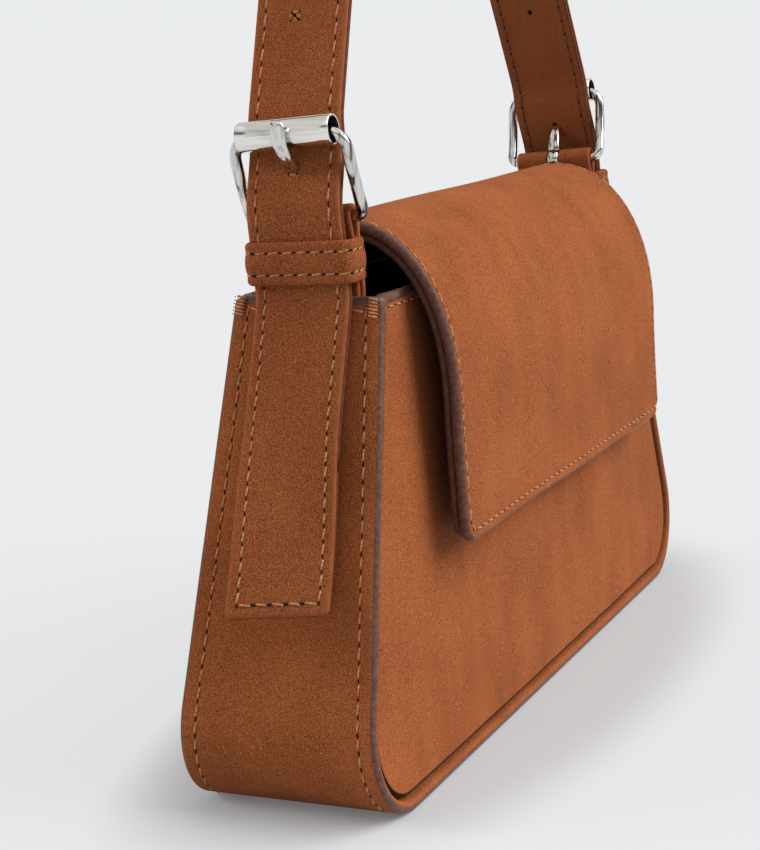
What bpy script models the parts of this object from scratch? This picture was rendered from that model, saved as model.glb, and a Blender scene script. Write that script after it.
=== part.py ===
"""A small nubuck shoulder bag with a flap, two roller buckles and an adjustable strap.

The bag stands on its flat underside. X runs along its length, the front faces -Y and Z is up.
The origin is the middle of the underside. All lengths are in metres.
"""

import math

import bmesh
import bpy
import numpy as np

# Clearances
CLEARANCE = 0.0003          # between two pieces that touch on the real bag
RUNNING_CLEARANCE = 0.0003  # round a piece that turns or slides

# Body
BODY_HEIGHT = 0.126         # from the underside to the painted top edge
BODY_TOP_HALF = 0.103       # half length of the body at its top edge
BODY_FOOT_HALF = 0.141      # half length where the end lines meet the underside
BODY_TOP_DEPTH = 0.040      # front to back at the top
BODY_FOOT_DEPTH = 0.055     # front to back at the underside
BODY_CORNER_RADIUS = 0.0225
GUSSET_THICKNESS = 0.0030
RIM_PROUD = 0.0012          # how far the gusset's raw edge stands proud of the panels
PANEL_THICKNESS = 0.0018
PANEL_TURN_DEPTH = 0.0035   # depth of the turned edge that the gusset is sewn to
PANEL_CROWN = 0.0022        # how far the filled panel bulges in its middle

# Lining and bottom board
LINING_THICKNESS = 0.0007
LINING_END_INSET = 0.0094   # leaves room for the tabs between gusset and lining
LINING_SIDE_INSET = 0.0052
LINING_TOP_DROP = 0.0050
LINING_CORNER_RADIUS = 0.0200
LINING_EDGE_RADIUS = 0.0050
BOARD_THICKNESS = 0.0016
BOARD_END_INSET = 0.0370
BOARD_SIDE_INSET = 0.0075
BOARD_CORNER_RADIUS = 0.0080

# Flap
FLAP_END_INSET = 0.0135     # the flap is shorter than the body's top by this much at each end
FLAP_OFF_MIDDLE = 0.0030    # the flap is sewn this far to the right of the middle
FLAP_THICKNESS = 0.0027
FLAP_LINING_THICKNESS = 0.0020
FLAP_LINING_INSET = 0.0012  # the inner layer stops short of the outer one's edge
FLAP_FOOT_DROP = 0.0647     # from the body's top edge down to the flap's straight bottom edge
FLAP_CORNER_RADIUS = 0.0060
FLAP_ROLL_RISE = 0.0180     # top of the roll over the body's top edge
FLAP_ROLL_Y = -0.0016
FLAP_SHOULDER_DROP = 0.0325 # where the roll has become flat
FLAP_SHOULDER_IN = 0.0006   # that place lies nearer the body than the flap over its snap
FLAP_FOOT_OUT = 0.0002      # and the bottom edge lies further out
HINGE_DROP = 0.0018         # the flap's fold line lies this far below the top edge
LAP_HEIGHT = 0.0150         # the strip of the flap that is sewn to the back panel

# Magnetic snap
SNAP_DROP = 0.0560          # from the body's top edge down to the snap's middle
SNAP_SOCKET_RADIUS = 0.0080
SNAP_SOCKET_THICKNESS = 0.0016
SNAP_STUD_RADIUS = 0.0070
SNAP_STUD_THICKNESS = 0.0013
SNAP_NUB_RADIUS = 0.0030
SNAP_NUB_HEIGHT = 0.0008
SNAP_WELL_RADIUS = 0.0043
SNAP_WELL_DEPTH = 0.0011
SNAP_WASHER_HALF_LENGTH = 0.0100
SNAP_WASHER_HALF_HEIGHT = 0.0050
SNAP_WASHER_CORNER_RADIUS = 0.0015
SNAP_WASHER_THICKNESS = 0.0005

# Strap
STRAP_WIDTH = 0.0250
STRAP_LAYER = 0.0014
STRAP_BACK_LEAN = math.radians(4.3)  # strap, buckles and keepers lean back together
STRAP_LEAN_DROP = 0.0030    # that lean starts this far below the body's top edge
STRAP_IN_LEAN = math.radians(25.0)
STRAP_STRAIGHT = 0.118      # straight run of each leg above its bend
STRAP_EASE = 0.0060         # rise over which the strap takes up its inward lean
STRAP_END_RISE = 0.0055     # the held end stops this far above the roller's axis
STRAP_PIVOT_RISE = 0.0105   # the free strap swings about a line this far above that axis
STRAP_BEND_RISE = 0.0135    # and is straight again from this far above the line
STRAP_HOLE_SIZE = 0.0026
STRAP_HOLE_FIRST = 0.0040   # from the start of the straight run to the first punched hole
STRAP_HOLE_PITCH = 0.0360
STRAP_HOLE_COUNT = 3
TAIL_DROP = 0.0720          # from the body's top edge down to the tail's foot
TAIL_STAND_OFF = 0.0012     # between the gusset and the hanging tail
TAIL_EASE = 0.0420          # drop over which that gap opens
TAIL_TIP_KICK = 0.0030      # the tip stands further off
TAIL_CORNER_RADIUS = 0.0030
TAIL_JOINT_DROP = 0.0380    # the backing is made of two lengths that butt here
TAIL_JOINT_GAP = 0.0020

# Buckles
WIRE_RADIUS = 0.0015
FRAME_WIDTH = 0.0302        # from wire centre to wire centre
FRAME_HEIGHT = 0.0221
FRAME_TOP_RADIUS = 0.0050   # bend of the wire's centre line at the roller
FRAME_FOOT_RADIUS = 0.0025  # and at the lower bar
FRAME_BOW = 0.0007
FRAME_LEAN = math.radians(17.5)
BAR_RISE = 0.0186           # the lower bar's axis over the body's top edge
ROLLER_RADIUS = 0.00375
ROLLER_BORE_RADIUS = 0.00315
ROLLER_LENGTH = 0.0250
ROLLER_DROP = 0.0005        # the roller sits off the bar by this much, on the bends of the wire
PRONG_RADIUS = 0.0011
PRONG_SLOT_WIDTH = 0.0042
PRONG_SLOT_LENGTH = 0.0110
PRONG_SLOT_RISE = 0.0116     # middle of the punched slot over the lower bar's axis
PRONG_SHANK_RISE = 0.0030    # the shank leaves the hook straight up for this far
PRONG_TIP_RISE = 0.0035      # height of the tip over the roller's axis
PRONG_HOOK_START = math.radians(-75.0)
PRONG_HOOK_END = math.radians(-257.0)
PRONG_REST_ANGLE = math.radians(-18.0)

# Tabs and keepers
TAB_WIDTH = 0.0250
TAB_THICKNESS = 0.0014
TAB_GAP = 0.0020            # between the two layers of a tab, where the keeper passes
TAB_DEPTH_IN_BAG = 0.0160
TAB_SLOT_WIDTH = 0.0040
TAB_NECK_DROP = 0.0028      # below the bar's axis the layers start to draw together
TAB_SLOT_DROP = 0.0045      # the slot reaches this far below the bar's axis
KEEPER_HEIGHT = 0.0106
KEEPER_RISE = 0.0037        # the keeper's foot over the body's top edge
KEEPER_FRONT_WALL = 0.0016
KEEPER_REAR_WALL = 0.0012
KEEPER_SIDE_WALL = 0.0016
KEEPER_CORNER_RADIUS = 0.0022

# Angles, shares and counts
SHARP_ANGLE = math.radians(35.0)
REAR_ROLL_share = 0.5523     # how far the roll's curve keeps its direction at each end
CREST_ROLL_share = 0.629
SHOULDER_ROLL_share = 0.568
PANEL_RING_share = (1.0, 0.86, 0.68, 0.46, 0.22)
PANEL_CENTRE_share = 0.5
PRONG_TIP_share = 0.6
SRGB_KNEE_share = 0.04045
SRGB_SLOPE_share = 12.92
SRGB_OFFSET_share = 0.055
SRGB_POWER_share = 2.4
SIDE_STEPS = 7
CORNER_STEPS = 7
BOTTOM_STEPS = 10
ROUND_STEPS = 20
WIRE_STEPS = 10
ARCH_STEPS = 12
BEND_STEPS = 7


# Places that follow from the sizes above
BOARD_HALF_LENGTH = BODY_FOOT_HALF - BOARD_END_INSET
FLAP_HALF_LENGTH = BODY_TOP_HALF - FLAP_END_INSET
FLAP_ROLL_HEIGHT = BODY_HEIGHT + FLAP_ROLL_RISE
FLAP_SHOULDER_HEIGHT = BODY_HEIGHT - FLAP_SHOULDER_DROP
FLAP_FOOT_HEIGHT = BODY_HEIGHT - FLAP_FOOT_DROP
SNAP_HEIGHT = BODY_HEIGHT - SNAP_DROP
TAIL_FOOT_HEIGHT = BODY_HEIGHT - TAIL_DROP
TAIL_JOINT_HEIGHT = BODY_HEIGHT - TAIL_JOINT_DROP
BAR_HEIGHT = BODY_HEIGHT + BAR_RISE
PRONG_SLOT_HEIGHT = BAR_HEIGHT + PRONG_SLOT_RISE
KEEPER_FOOT_HEIGHT = BODY_HEIGHT + KEEPER_RISE


def clear_scene():
    """Removes every object that the file already holds."""
    for item in list(bpy.data.objects):
        bpy.data.objects.remove(item, do_unlink=True)


def linear(level):
    """One sRGB level, 0 to 1, as a linear value."""
    if level <= SRGB_KNEE_share:
        return level / SRGB_SLOPE_share
    return ((level + SRGB_OFFSET_share) / (1 + SRGB_OFFSET_share)) ** SRGB_POWER_share


def material(name, hex_colour, roughness, metallic):
    """A Principled material with one colour, given as six hex digits."""
    made = bpy.data.materials.new(name)
    made.use_nodes = True
    shader = made.node_tree.nodes["Principled BSDF"]
    levels = [int(hex_colour[i:i + 2], 16) / 255 for i in (0, 2, 4)]
    colour = [linear(level) for level in levels] + [1.0]
    shader.inputs["Base Color"].default_value = colour
    shader.inputs["Roughness"].default_value = roughness
    shader.inputs["Metallic"].default_value = metallic
    made.diffuse_color = colour
    return made


def add_object(name, points, faces, surface, origin=(0.0, 0.0, 0.0), parent=None, smooth=True):
    """Makes a mesh object from world points, with its own origin and an optional parent empty."""
    shift = np.array(origin, float)
    mesh = bpy.data.meshes.new(name)
    mesh.from_pydata([tuple(point) for point in np.asarray(points, float) - shift], [], faces)
    work = bmesh.new()
    work.from_mesh(mesh)
    bmesh.ops.recalc_face_normals(work, faces=work.faces)
    if work.calc_volume(signed=True) < 0:
        bmesh.ops.reverse_faces(work, faces=work.faces)
    work.to_mesh(mesh)
    work.free()
    mesh.materials.append(surface)
    made = bpy.data.objects.new(name, mesh)
    bpy.context.scene.collection.objects.link(made)
    if parent is None:
        made.location = origin
    else:
        made.parent = parent
        made.location = shift - np.array(parent.location)
    if smooth:
        mesh.shade_smooth()
        mesh.set_sharp_from_angle(angle=SHARP_ANGLE)
    return made


def add_empty(name, location):
    """An empty that marks a joint's axis."""
    made = bpy.data.objects.new(name, None)
    made.location = location
    bpy.context.scene.collection.objects.link(made)
    return made


def plate(outer, inner, keep=None):
    """A closed plate between two grids of points; keep says which cells are solid."""
    outer = np.asarray(outer, float)
    inner = np.asarray(inner, float)
    rows, columns = outer.shape[:2]
    if keep is None:
        keep = np.ones((rows - 1, columns - 1), bool)
    offset = rows * columns
    points = np.concatenate([outer.reshape(-1, 3), inner.reshape(-1, 3)])
    faces = []

    def index(row, column):
        return row * columns + column

    def solid(row, column):
        inside = 0 <= row < rows - 1 and 0 <= column < columns - 1
        return inside and bool(keep[row][column])

    for row in range(rows - 1):
        for column in range(columns - 1):
            if not keep[row][column]:
                continue
            a = index(row, column)
            b = index(row, column + 1)
            c = index(row + 1, column + 1)
            d = index(row + 1, column)
            faces.append((a, b, c, d))
            faces.append((d + offset, c + offset, b + offset, a + offset))
            borders = (
                (solid(row - 1, column), a, b),
                (solid(row, column + 1), b, c),
                (solid(row + 1, column), c, d),
                (solid(row, column - 1), d, a),
            )
            for shared, start, end in borders:
                if not shared:
                    faces.append((start, start + offset, end + offset, end))
    used = sorted({corner for face in faces for corner in face})
    number = {old: new for new, old in enumerate(used)}
    faces = [tuple(number[corner] for corner in face) for face in faces]
    return points[used], faces


def loft(rings, cyclic=False, fan_start=None, fan_end=None):
    """Joins closed rings of equal count; a fan point closes each open end."""
    count = len(rings[0])
    points = np.concatenate([np.asarray(ring, float) for ring in rings])
    faces = []
    spans = len(rings) if cyclic else len(rings) - 1
    for ring in range(spans):
        following = (ring + 1) % len(rings)
        for step in range(count):
            turn = (step + 1) % count
            faces.append((
                ring * count + step,
                ring * count + turn,
                following * count + turn,
                following * count + step,
            ))
    extra = []
    for pole, ring in ((fan_start, 0), (fan_end, len(rings) - 1)):
        if pole is None:
            continue
        centre = len(points) + len(extra)
        extra.append(pole)
        for step in range(count):
            turn = (step + 1) % count
            faces.append((ring * count + step, ring * count + turn, centre))
    if extra:
        points = np.concatenate([points, np.asarray(extra, float)])
    return points, faces


def sweep(path, radii, cyclic=False, steps=WIRE_STEPS):
    """A round section carried along a path that lies in one plane or bends gently."""
    path = np.asarray(path, float)
    count = len(path)
    rings = []
    side = None
    for step in range(count):
        before = path[(step - 1) % count] if cyclic or step > 0 else path[step]
        after = path[(step + 1) % count] if cyclic or step < count - 1 else path[step]
        along = after - before
        along = along / np.linalg.norm(along)
        if side is None:
            trial = np.array([1.0, 0.0, 0.0])
            if abs(along @ trial) > 0.8:
                trial = np.array([0.0, 1.0, 0.0])
            side = trial
        side = side - along * (side @ along)
        side = side / np.linalg.norm(side)
        other = np.cross(along, side)
        turn = np.arange(steps) * 2 * math.pi / steps
        radius = radii[step] if hasattr(radii, "__len__") else radii
        ring = path[step] + radius * (np.outer(np.cos(turn), side) + np.outer(np.sin(turn), other))
        rings.append(ring)
    if cyclic:
        return loft(rings, cyclic=True)
    return loft(rings, fan_start=path[0], fan_end=path[-1])


def half_depth(height):
    """Half the body's depth at a height: it narrows evenly from foot to top."""
    share = np.asarray(height, float) / BODY_HEIGHT
    return (BODY_FOOT_DEPTH + (BODY_TOP_DEPTH - BODY_FOOT_DEPTH) * share) / 2


def end_outline(top_half, foot_half, top, foot, radius, inset=0.0):
    """Left half of the side outline, from the top edge down to the middle of the underside.

    A straight end line leans outwards, then turns into the underside by an arc.
    """
    run = foot_half - top_half
    rise = top - foot
    length = math.hypot(run, rise)
    normal = np.array([rise, -run]) / length
    start = np.array([-top_half, top])
    centre_z = foot + radius
    centre_x = start[0] + (radius - normal[1] * (centre_z - top)) / normal[0]
    centre = np.array([centre_x, centre_z])
    first = np.array([start[0] + inset / normal[0], top])
    tangent = centre - normal * (radius - inset)
    points = [first + (tangent - first) * step / SIDE_STEPS for step in range(SIDE_STEPS)]
    begin = math.atan2(-normal[1], -normal[0]) % (2 * math.pi)
    end = 1.5 * math.pi
    for step in range(CORNER_STEPS):
        angle = begin + (end - begin) * step / CORNER_STEPS
        points.append(centre + (radius - inset) * np.array([math.cos(angle), math.sin(angle)]))
    last = np.array([centre_x, foot + inset])
    middle = np.array([0.0, foot + inset])
    for step in range(BOTTOM_STEPS // 2 + 1):
        points.append(last + (middle - last) * step / (BOTTOM_STEPS // 2))
    return np.array(points)


def body_outline(inset):
    """The whole U of the body's side outline at an inset, left top to right top."""
    left = end_outline(
        BODY_TOP_HALF, BODY_FOOT_HALF, BODY_HEIGHT, 0.0, BODY_CORNER_RADIUS, inset
    )
    right = left[::-1][1:] * np.array([-1.0, 1.0])
    return np.concatenate([left, right])


def at_depth(outline, depth):
    """Side outline points as world points at given Y values."""
    depth = np.broadcast_to(depth, (len(outline),))
    return np.stack([outline[:, 0], depth, outline[:, 1]], axis=1)


def end_line(height):
    """Half length of the gusset's outer face at a height above its round corner."""
    share = (BODY_HEIGHT - np.asarray(height, float)) / BODY_HEIGHT
    return BODY_TOP_HALF + (BODY_FOOT_HALF - BODY_TOP_HALF) * share


def bezier(start, first, second, end, steps):
    """Points of a cubic curve, both ends included."""
    share = np.linspace(0.0, 1.0, steps + 1)[:, None]
    start, first, second, end = (np.array(item, float) for item in (start, first, second, end))
    rest = 1 - share
    return (
        rest ** 3 * start
        + 3 * rest ** 2 * share * first
        + 3 * rest * share ** 2 * second
        + share ** 3 * end
    )


def offset_path(path, distance):
    """A plane path moved sideways, to the left of its direction, by a distance."""
    path = np.asarray(path, float)
    along = np.gradient(path, axis=0)
    along = along / np.linalg.norm(along, axis=1, keepdims=True)
    normal = np.stack([-along[:, 1], along[:, 0]], axis=1)
    return path + normal * distance


def rounded_rectangle(half_x, half_y, radius, steps=4):
    """Points of a rounded rectangle about the origin."""
    points = []
    for quarter in range(4):
        centre_x = (half_x - radius) * (1 if quarter in (0, 3) else -1)
        centre_y = (half_y - radius) * (1 if quarter in (0, 1) else -1)
        for step in range(steps + 1):
            angle = (quarter + step / steps) * math.pi / 2
            points.append((
                centre_x + radius * math.cos(angle),
                centre_y + radius * math.sin(angle),
            ))
    return np.array(points)


# Body shell
def build_gusset(surface):
    """One strip round both ends and the bottom; its raw edges form the rims."""
    outer = body_outline(0.0)
    inner = body_outline(GUSSET_THICKNESS)
    rows_outer = []
    rows_inner = []
    for out_point, in_point in zip(outer, inner):
        half = float(half_depth(out_point[1]))
        rows_outer.append([(out_point[0], side * half, out_point[1]) for side in (-1, 0, 1)])
        rows_inner.append([(in_point[0], side * half, in_point[1]) for side in (-1, 0, 1)])
    points, faces = plate(rows_outer, rows_inner)
    return add_object("gusset_strip", points, faces, surface, smooth=False)


def panel_edge_y(height):
    """How far from the middle plane a panel's outer face lies at its seam."""
    return half_depth(height) - RIM_PROUD


def panel_face_y(height):
    """Distance of a panel's crowned outer face from the middle plane, halfway along the bag."""
    middle = BODY_HEIGHT * PANEL_CENTRE_share
    share = np.abs(np.asarray(height, float) - middle) / (BODY_HEIGHT - middle)
    return panel_edge_y(height) + PANEL_CROWN * (1 - share ** 2)


def build_panel(name, facing, surface):
    """A crowned panel with a turned edge, inside the rims of the gusset."""
    outline = body_outline(GUSSET_THICKNESS + CLEARANCE)
    inset_outline = body_outline(GUSSET_THICKNESS + CLEARANCE + PANEL_THICKNESS)
    drop = PANEL_THICKNESS
    top_steps = np.linspace(0.0, 1.0, BOTTOM_STEPS + 1)[1:-1, None]
    top_row = outline[-1] + (outline[0] - outline[-1]) * top_steps
    loop = np.concatenate([outline, top_row])
    start = inset_outline[0] - np.array([0.0, drop])
    end = inset_outline[-1] - np.array([0.0, drop])
    inner_top = end + (start - end) * top_steps
    lowered = inset_outline.copy()
    lowered[0] = start
    lowered[-1] = end
    inner_loop = np.concatenate([lowered, inner_top])
    is_top = np.zeros(len(loop), bool)
    is_top[len(outline):] = True
    is_top[0] = True
    is_top[len(outline) - 1] = True
    pole = np.array([0.0, BODY_HEIGHT * PANEL_CENTRE_share])
    turn = np.where(is_top, PANEL_THICKNESS + CLEARANCE, PANEL_TURN_DEPTH)

    def ring(points, share, back):
        scaled = pole + (points - pole) * share
        crown = PANEL_CROWN * (1 - share ** 2)
        depth = facing * (panel_edge_y(scaled[:, 1]) + crown - back)
        return at_depth(scaled, depth)

    rings = [ring(loop, share, 0.0) for share in reversed(PANEL_RING_share)]
    rings.append(ring(loop, 1.0, turn))
    rings.append(ring(inner_loop, 1.0, turn))
    rings.extend(ring(inner_loop, share, PANEL_THICKNESS) for share in PANEL_RING_share)
    top_y = facing * (float(panel_edge_y(pole[1])) + PANEL_CROWN)
    under_y = facing * (float(panel_edge_y(pole[1])) + PANEL_CROWN - PANEL_THICKNESS)
    points, faces = loft(
        rings,
        fan_start=(pole[0], top_y, pole[1]),
        fan_end=(pole[0], under_y, pole[1]),
    )
    return add_object(name, points, faces, surface)


def build_lining(surface):
    """The cloth lining: a thin cup that hangs inside the body."""
    foot = GUSSET_THICKNESS + CLEARANCE + BOARD_THICKNESS + CLEARANCE
    top = BODY_HEIGHT - LINING_TOP_DROP

    def wall(inset):
        line = end_outline(
            BODY_TOP_HALF - LINING_END_INSET,
            BODY_FOOT_HALF - LINING_END_INSET,
            BODY_HEIGHT,
            foot,
            LINING_CORNER_RADIUS,
            inset,
        )
        line = line[:SIDE_STEPS + CORNER_STEPS + 1].copy()
        span = line[1] - line[0]
        line[0] = line[0] + span * (line[0][1] - top) / (line[0][1] - line[1][1])
        rings = []
        for x, z in line:
            half_y = float(half_depth(z)) - LINING_SIDE_INSET - inset
            radius = LINING_EDGE_RADIUS - inset
            corner = rounded_rectangle(-x, half_y, radius)
            rings.append(np.column_stack([corner, np.full(len(corner), z)]))
        return rings

    outside = wall(0.0)
    inside = wall(LINING_THICKNESS)
    rings = outside[::-1] + inside
    low = outside[-1][:, 2].mean()
    high = inside[-1][:, 2].mean()
    points, faces = loft(rings, fan_start=(0.0, 0.0, low), fan_end=(0.0, 0.0, high))
    return add_object("lining", points, faces, surface)


def build_board(surface):
    """The stiff board between the gusset's underside and the lining."""
    low = GUSSET_THICKNESS + CLEARANCE
    high = low + BOARD_THICKNESS
    half_y = BODY_FOOT_DEPTH / 2 - BOARD_SIDE_INSET
    corner = rounded_rectangle(BOARD_HALF_LENGTH, half_y, BOARD_CORNER_RADIUS)
    rings = [np.column_stack([corner, np.full(len(corner), z)]) for z in (low, high)]
    points, faces = loft(rings, fan_start=(0.0, 0.0, low), fan_end=(0.0, 0.0, high))
    return add_object("bottom_board", points, faces, surface, smooth=False)


# Flap
HINGE_Z = BODY_HEIGHT - HINGE_DROP
HINGE_Y = float(panel_face_y(HINGE_Z)) + CLEARANCE + FLAP_THICKNESS / 2
HINGE_POINT = (0.0, HINGE_Y, HINGE_Z)
FLAP_STACK = FLAP_THICKNESS + CLEARANCE + FLAP_LINING_THICKNESS


def snap_back_y():
    """Y of the snap socket's back, which rests on the front panel."""
    span = SNAP_HEIGHT + np.linspace(-SNAP_SOCKET_RADIUS, SNAP_SOCKET_RADIUS, 9)
    return -float(np.max(panel_face_y(span))) - CLEARANCE


SNAP_FACE_Y = snap_back_y() - SNAP_SOCKET_THICKNESS
FLAP_OVER_SNAP_Y = SNAP_FACE_Y - CLEARANCE - SNAP_STUD_THICKNESS - CLEARANCE - FLAP_STACK
FLAP_SHOULDER_Y = FLAP_OVER_SNAP_Y + FLAP_SHOULDER_IN
FLAP_FOOT_Y = FLAP_OVER_SNAP_Y - FLAP_FOOT_OUT


def flap_profile():
    """Outer face of the flap in the YZ plane, from the fold line to the bottom edge."""
    start = np.array([HINGE_Y + FLAP_THICKNESS / 2, HINGE_Z])
    crest = np.array([FLAP_ROLL_Y, FLAP_ROLL_HEIGHT])
    shoulder = np.array([FLAP_SHOULDER_Y, FLAP_SHOULDER_HEIGHT])
    foot = np.array([FLAP_FOOT_Y, FLAP_FOOT_HEIGHT])
    rise = crest[1] - start[1]
    back = start[0] - crest[0]
    front = crest[0] - shoulder[0]
    fall = crest[1] - shoulder[1]
    rear_roll = bezier(
        start,
        start + np.array([0.0, rise * REAR_ROLL_share]),
        crest + np.array([back * REAR_ROLL_share, 0.0]),
        crest,
        8,
    )
    front_roll = bezier(
        crest,
        crest - np.array([front * CREST_ROLL_share, 0.0]),
        shoulder + np.array([0.0, fall * SHOULDER_ROLL_share]),
        shoulder,
        12,
    )
    steps = np.linspace(0.0, 1.0, 5)[1:, None]
    straight = shoulder + (foot - shoulder) * steps
    return np.concatenate([rear_roll, front_roll[1:], straight])


def run_lengths(path):
    """Distance from the start of a path to each of its points."""
    steps = np.linalg.norm(np.diff(path, axis=0), axis=1)
    return np.concatenate([[0.0], np.cumsum(steps)])


def with_round_end(profile, half, radius, steps=5):
    """Half widths along a profile whose last end has round corners."""
    lengths = run_lengths(profile)
    total = lengths[-1]
    turn = np.linspace(0.0, math.pi / 2, steps + 1)
    arc = total - radius + radius * np.sin(turn)
    keep = lengths < total - radius - CLEARANCE
    stations = np.concatenate([lengths[keep], arc])
    path = np.stack([np.interp(stations, lengths, profile[:, k]) for k in range(2)], axis=1)
    past = np.clip(stations - (total - radius), 0.0, radius)
    widths = half - radius + np.sqrt(np.maximum(radius ** 2 - past ** 2, 0.0))
    return path, widths


def flap_sheet(near, far, half, start_trim, end_trim, radius):
    """A layer of the flap between two offsets from its outer face."""
    profile = flap_profile()
    outer = offset_path(profile, near)
    inner = offset_path(profile, far)
    both = np.concatenate([outer, inner], axis=1)
    lengths = run_lengths(outer)
    total = lengths[-1]
    stations = np.concatenate([[start_trim], lengths[(lengths > start_trim) & (lengths < total)]])
    stations = stations[stations < total - end_trim]
    stations = np.append(stations, total - end_trim)
    trimmed = np.stack([np.interp(stations, lengths, both[:, k]) for k in range(4)], axis=1)
    path, widths = with_round_end(trimmed[:, :2], half, radius)
    reach = run_lengths(trimmed[:, :2])
    walk = run_lengths(path)
    walk = walk * reach[-1] / walk[-1]
    under = np.stack([np.interp(walk, reach, trimmed[:, k]) for k in (2, 3)], axis=1)
    return path, under, widths


def build_flap_layer(name, near, far, half, start_trim, end_trim, radius, surface, parent):
    """One layer of the flap as a solid sheet."""
    path, under, widths = flap_sheet(near, far, half, start_trim, end_trim, radius)
    shares = np.linspace(-1.0, 1.0, 3)

    def row(point, width):
        return [(FLAP_OFF_MIDDLE + share * width, point[0], point[1]) for share in shares]

    outer = [row(point, width) for point, width in zip(path, widths)]
    inner = [row(point, width) for point, width in zip(under, widths)]
    points, faces = plate(outer, inner)
    return add_object(name, points, faces, surface, HINGE_POINT, parent)


def build_lap(surface):
    """The end of the flap that is sewn flat on the back panel, below its fold line."""
    top = HINGE_Z - FLAP_THICKNESS / 2 - CLEARANCE
    foot = top - LAP_HEIGHT
    rows_outer = []
    rows_inner = []
    row_x = FLAP_OFF_MIDDLE + np.linspace(-FLAP_HALF_LENGTH, FLAP_HALF_LENGTH, 3)
    for height in np.linspace(top, foot, 6):
        near = float(panel_face_y(height)) + CLEARANCE
        far = near + FLAP_THICKNESS
        rows_outer.append([(x, far, height) for x in row_x])
        rows_inner.append([(x, near, height) for x in row_x])
    points, faces = plate(rows_outer, rows_inner)
    return add_object("flap_back_lap", points, faces, surface, smooth=False)


def flap_inner_y():
    """Y of the flap's inner face at the snap."""
    profile = flap_profile()
    inner = offset_path(profile, FLAP_STACK)
    order = np.argsort(inner[-6:, 1])
    rows = inner[-6:][order]
    return float(np.interp(SNAP_HEIGHT, rows[:, 1], rows[:, 0]))


def disc(centre_x, y_start, y_end, centre_z, radius, steps=ROUND_STEPS):
    """Two rings of a disc whose axis runs along Y."""
    turn = np.arange(steps) * 2 * math.pi / steps
    x = centre_x + radius * np.cos(turn)
    z = centre_z + radius * np.sin(turn)
    return [np.stack([x, np.full(steps, y), z], axis=1) for y in (y_start, y_end)]


def build_snap(metal, parent):
    """Magnetic snap: socket on the front panel, stud on the flap, and their washers."""
    stud_back = flap_inner_y() + CLEARANCE
    stud_face = stud_back + SNAP_STUD_THICKNESS
    nub_tip = stud_face + SNAP_NUB_HEIGHT
    rings = disc(0.0, stud_back, stud_face, SNAP_HEIGHT, SNAP_STUD_RADIUS)
    rings += disc(0.0, stud_face, nub_tip, SNAP_HEIGHT, SNAP_NUB_RADIUS)
    points, faces = loft(
        rings,
        fan_start=(0.0, stud_back, SNAP_HEIGHT),
        fan_end=(0.0, nub_tip, SNAP_HEIGHT),
    )
    add_object("snap_stud", points, faces, metal, HINGE_POINT, parent)

    socket_back = snap_back_y()
    well = SNAP_FACE_Y + SNAP_WELL_DEPTH
    rings = disc(0.0, socket_back, SNAP_FACE_Y, SNAP_HEIGHT, SNAP_SOCKET_RADIUS)
    rings += disc(0.0, SNAP_FACE_Y, well, SNAP_HEIGHT, SNAP_WELL_RADIUS)
    points, faces = loft(
        rings,
        fan_start=(0.0, socket_back, SNAP_HEIGHT),
        fan_end=(0.0, well, SNAP_HEIGHT),
    )
    add_object("snap_socket", points, faces, metal)

    washer = rounded_rectangle(
        SNAP_WASHER_HALF_LENGTH, SNAP_WASHER_HALF_HEIGHT, SNAP_WASHER_CORNER_RADIUS
    )
    span = SNAP_HEIGHT + np.linspace(-SNAP_WASHER_HALF_HEIGHT, SNAP_WASHER_HALF_HEIGHT, 9)
    behind = PANEL_THICKNESS + CLEARANCE - float(np.min(panel_face_y(span)))
    rings = [
        np.column_stack([washer[:, 0], np.full(len(washer), y), SNAP_HEIGHT + washer[:, 1]])
        for y in (behind, behind + SNAP_WASHER_THICKNESS)
    ]
    points, faces = loft(
        rings,
        fan_start=(0.0, behind, SNAP_HEIGHT),
        fan_end=(0.0, behind + SNAP_WASHER_THICKNESS, SNAP_HEIGHT),
    )
    add_object("snap_socket_washer", points, faces, metal, smooth=False)


# Buckle geometry in a side plane: u is the distance outwards from the bag's middle
TAB_FRONT_U = BODY_TOP_HALF - GUSSET_THICKNESS - CLEARANCE
BAR_U = TAB_FRONT_U - TAB_THICKNESS - TAB_GAP / 2
FRAME_AXIS = np.array([math.sin(FRAME_LEAN), math.cos(FRAME_LEAN)])
BAR_POINT = np.array([BAR_U, BAR_HEIGHT])
TOP_BAR_POINT = BAR_POINT + FRAME_AXIS * FRAME_HEIGHT
ROLLER_POINT = TOP_BAR_POINT + FRAME_AXIS * ROLLER_DROP
STRAP_THICKNESS = 2 * STRAP_LAYER + CLEARANCE
STRAP_BEHIND_U = ROLLER_POINT[0] - ROLLER_RADIUS - CLEARANCE
STRAP_FRONT_U = BODY_TOP_HALF + CLEARANCE + STRAP_THICKNESS
PIVOT_Z = ROLLER_POINT[1] + STRAP_PIVOT_RISE


def smooth_step(share):
    """Eases from 0 to 1 with level ends."""
    share = np.clip(share, 0.0, 1.0)
    return share * share * (3 - 2 * share)


def leaned(points, share=1.0):
    """World points turned back about the body's top edge by a share of the strap's lean."""
    points = np.asarray(points, float)
    angle = STRAP_BACK_LEAN * share
    y = points[..., 1]
    rise = points[..., 2] - BODY_HEIGHT
    return np.stack(
        [
            points[..., 0],
            y * np.cos(angle) + rise * np.sin(angle),
            BODY_HEIGHT + rise * np.cos(angle) - y * np.sin(angle),
        ],
        axis=-1,
    )


def eased_lean(points):
    """The lean of leather that is upright in the body and fully leaned at the keeper's foot."""
    points = np.asarray(points, float)
    start = BODY_HEIGHT - STRAP_LEAN_DROP
    return leaned(points, smooth_step((points[..., 2] - start) / (KEEPER_FOOT_HEIGHT - start)))


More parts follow.
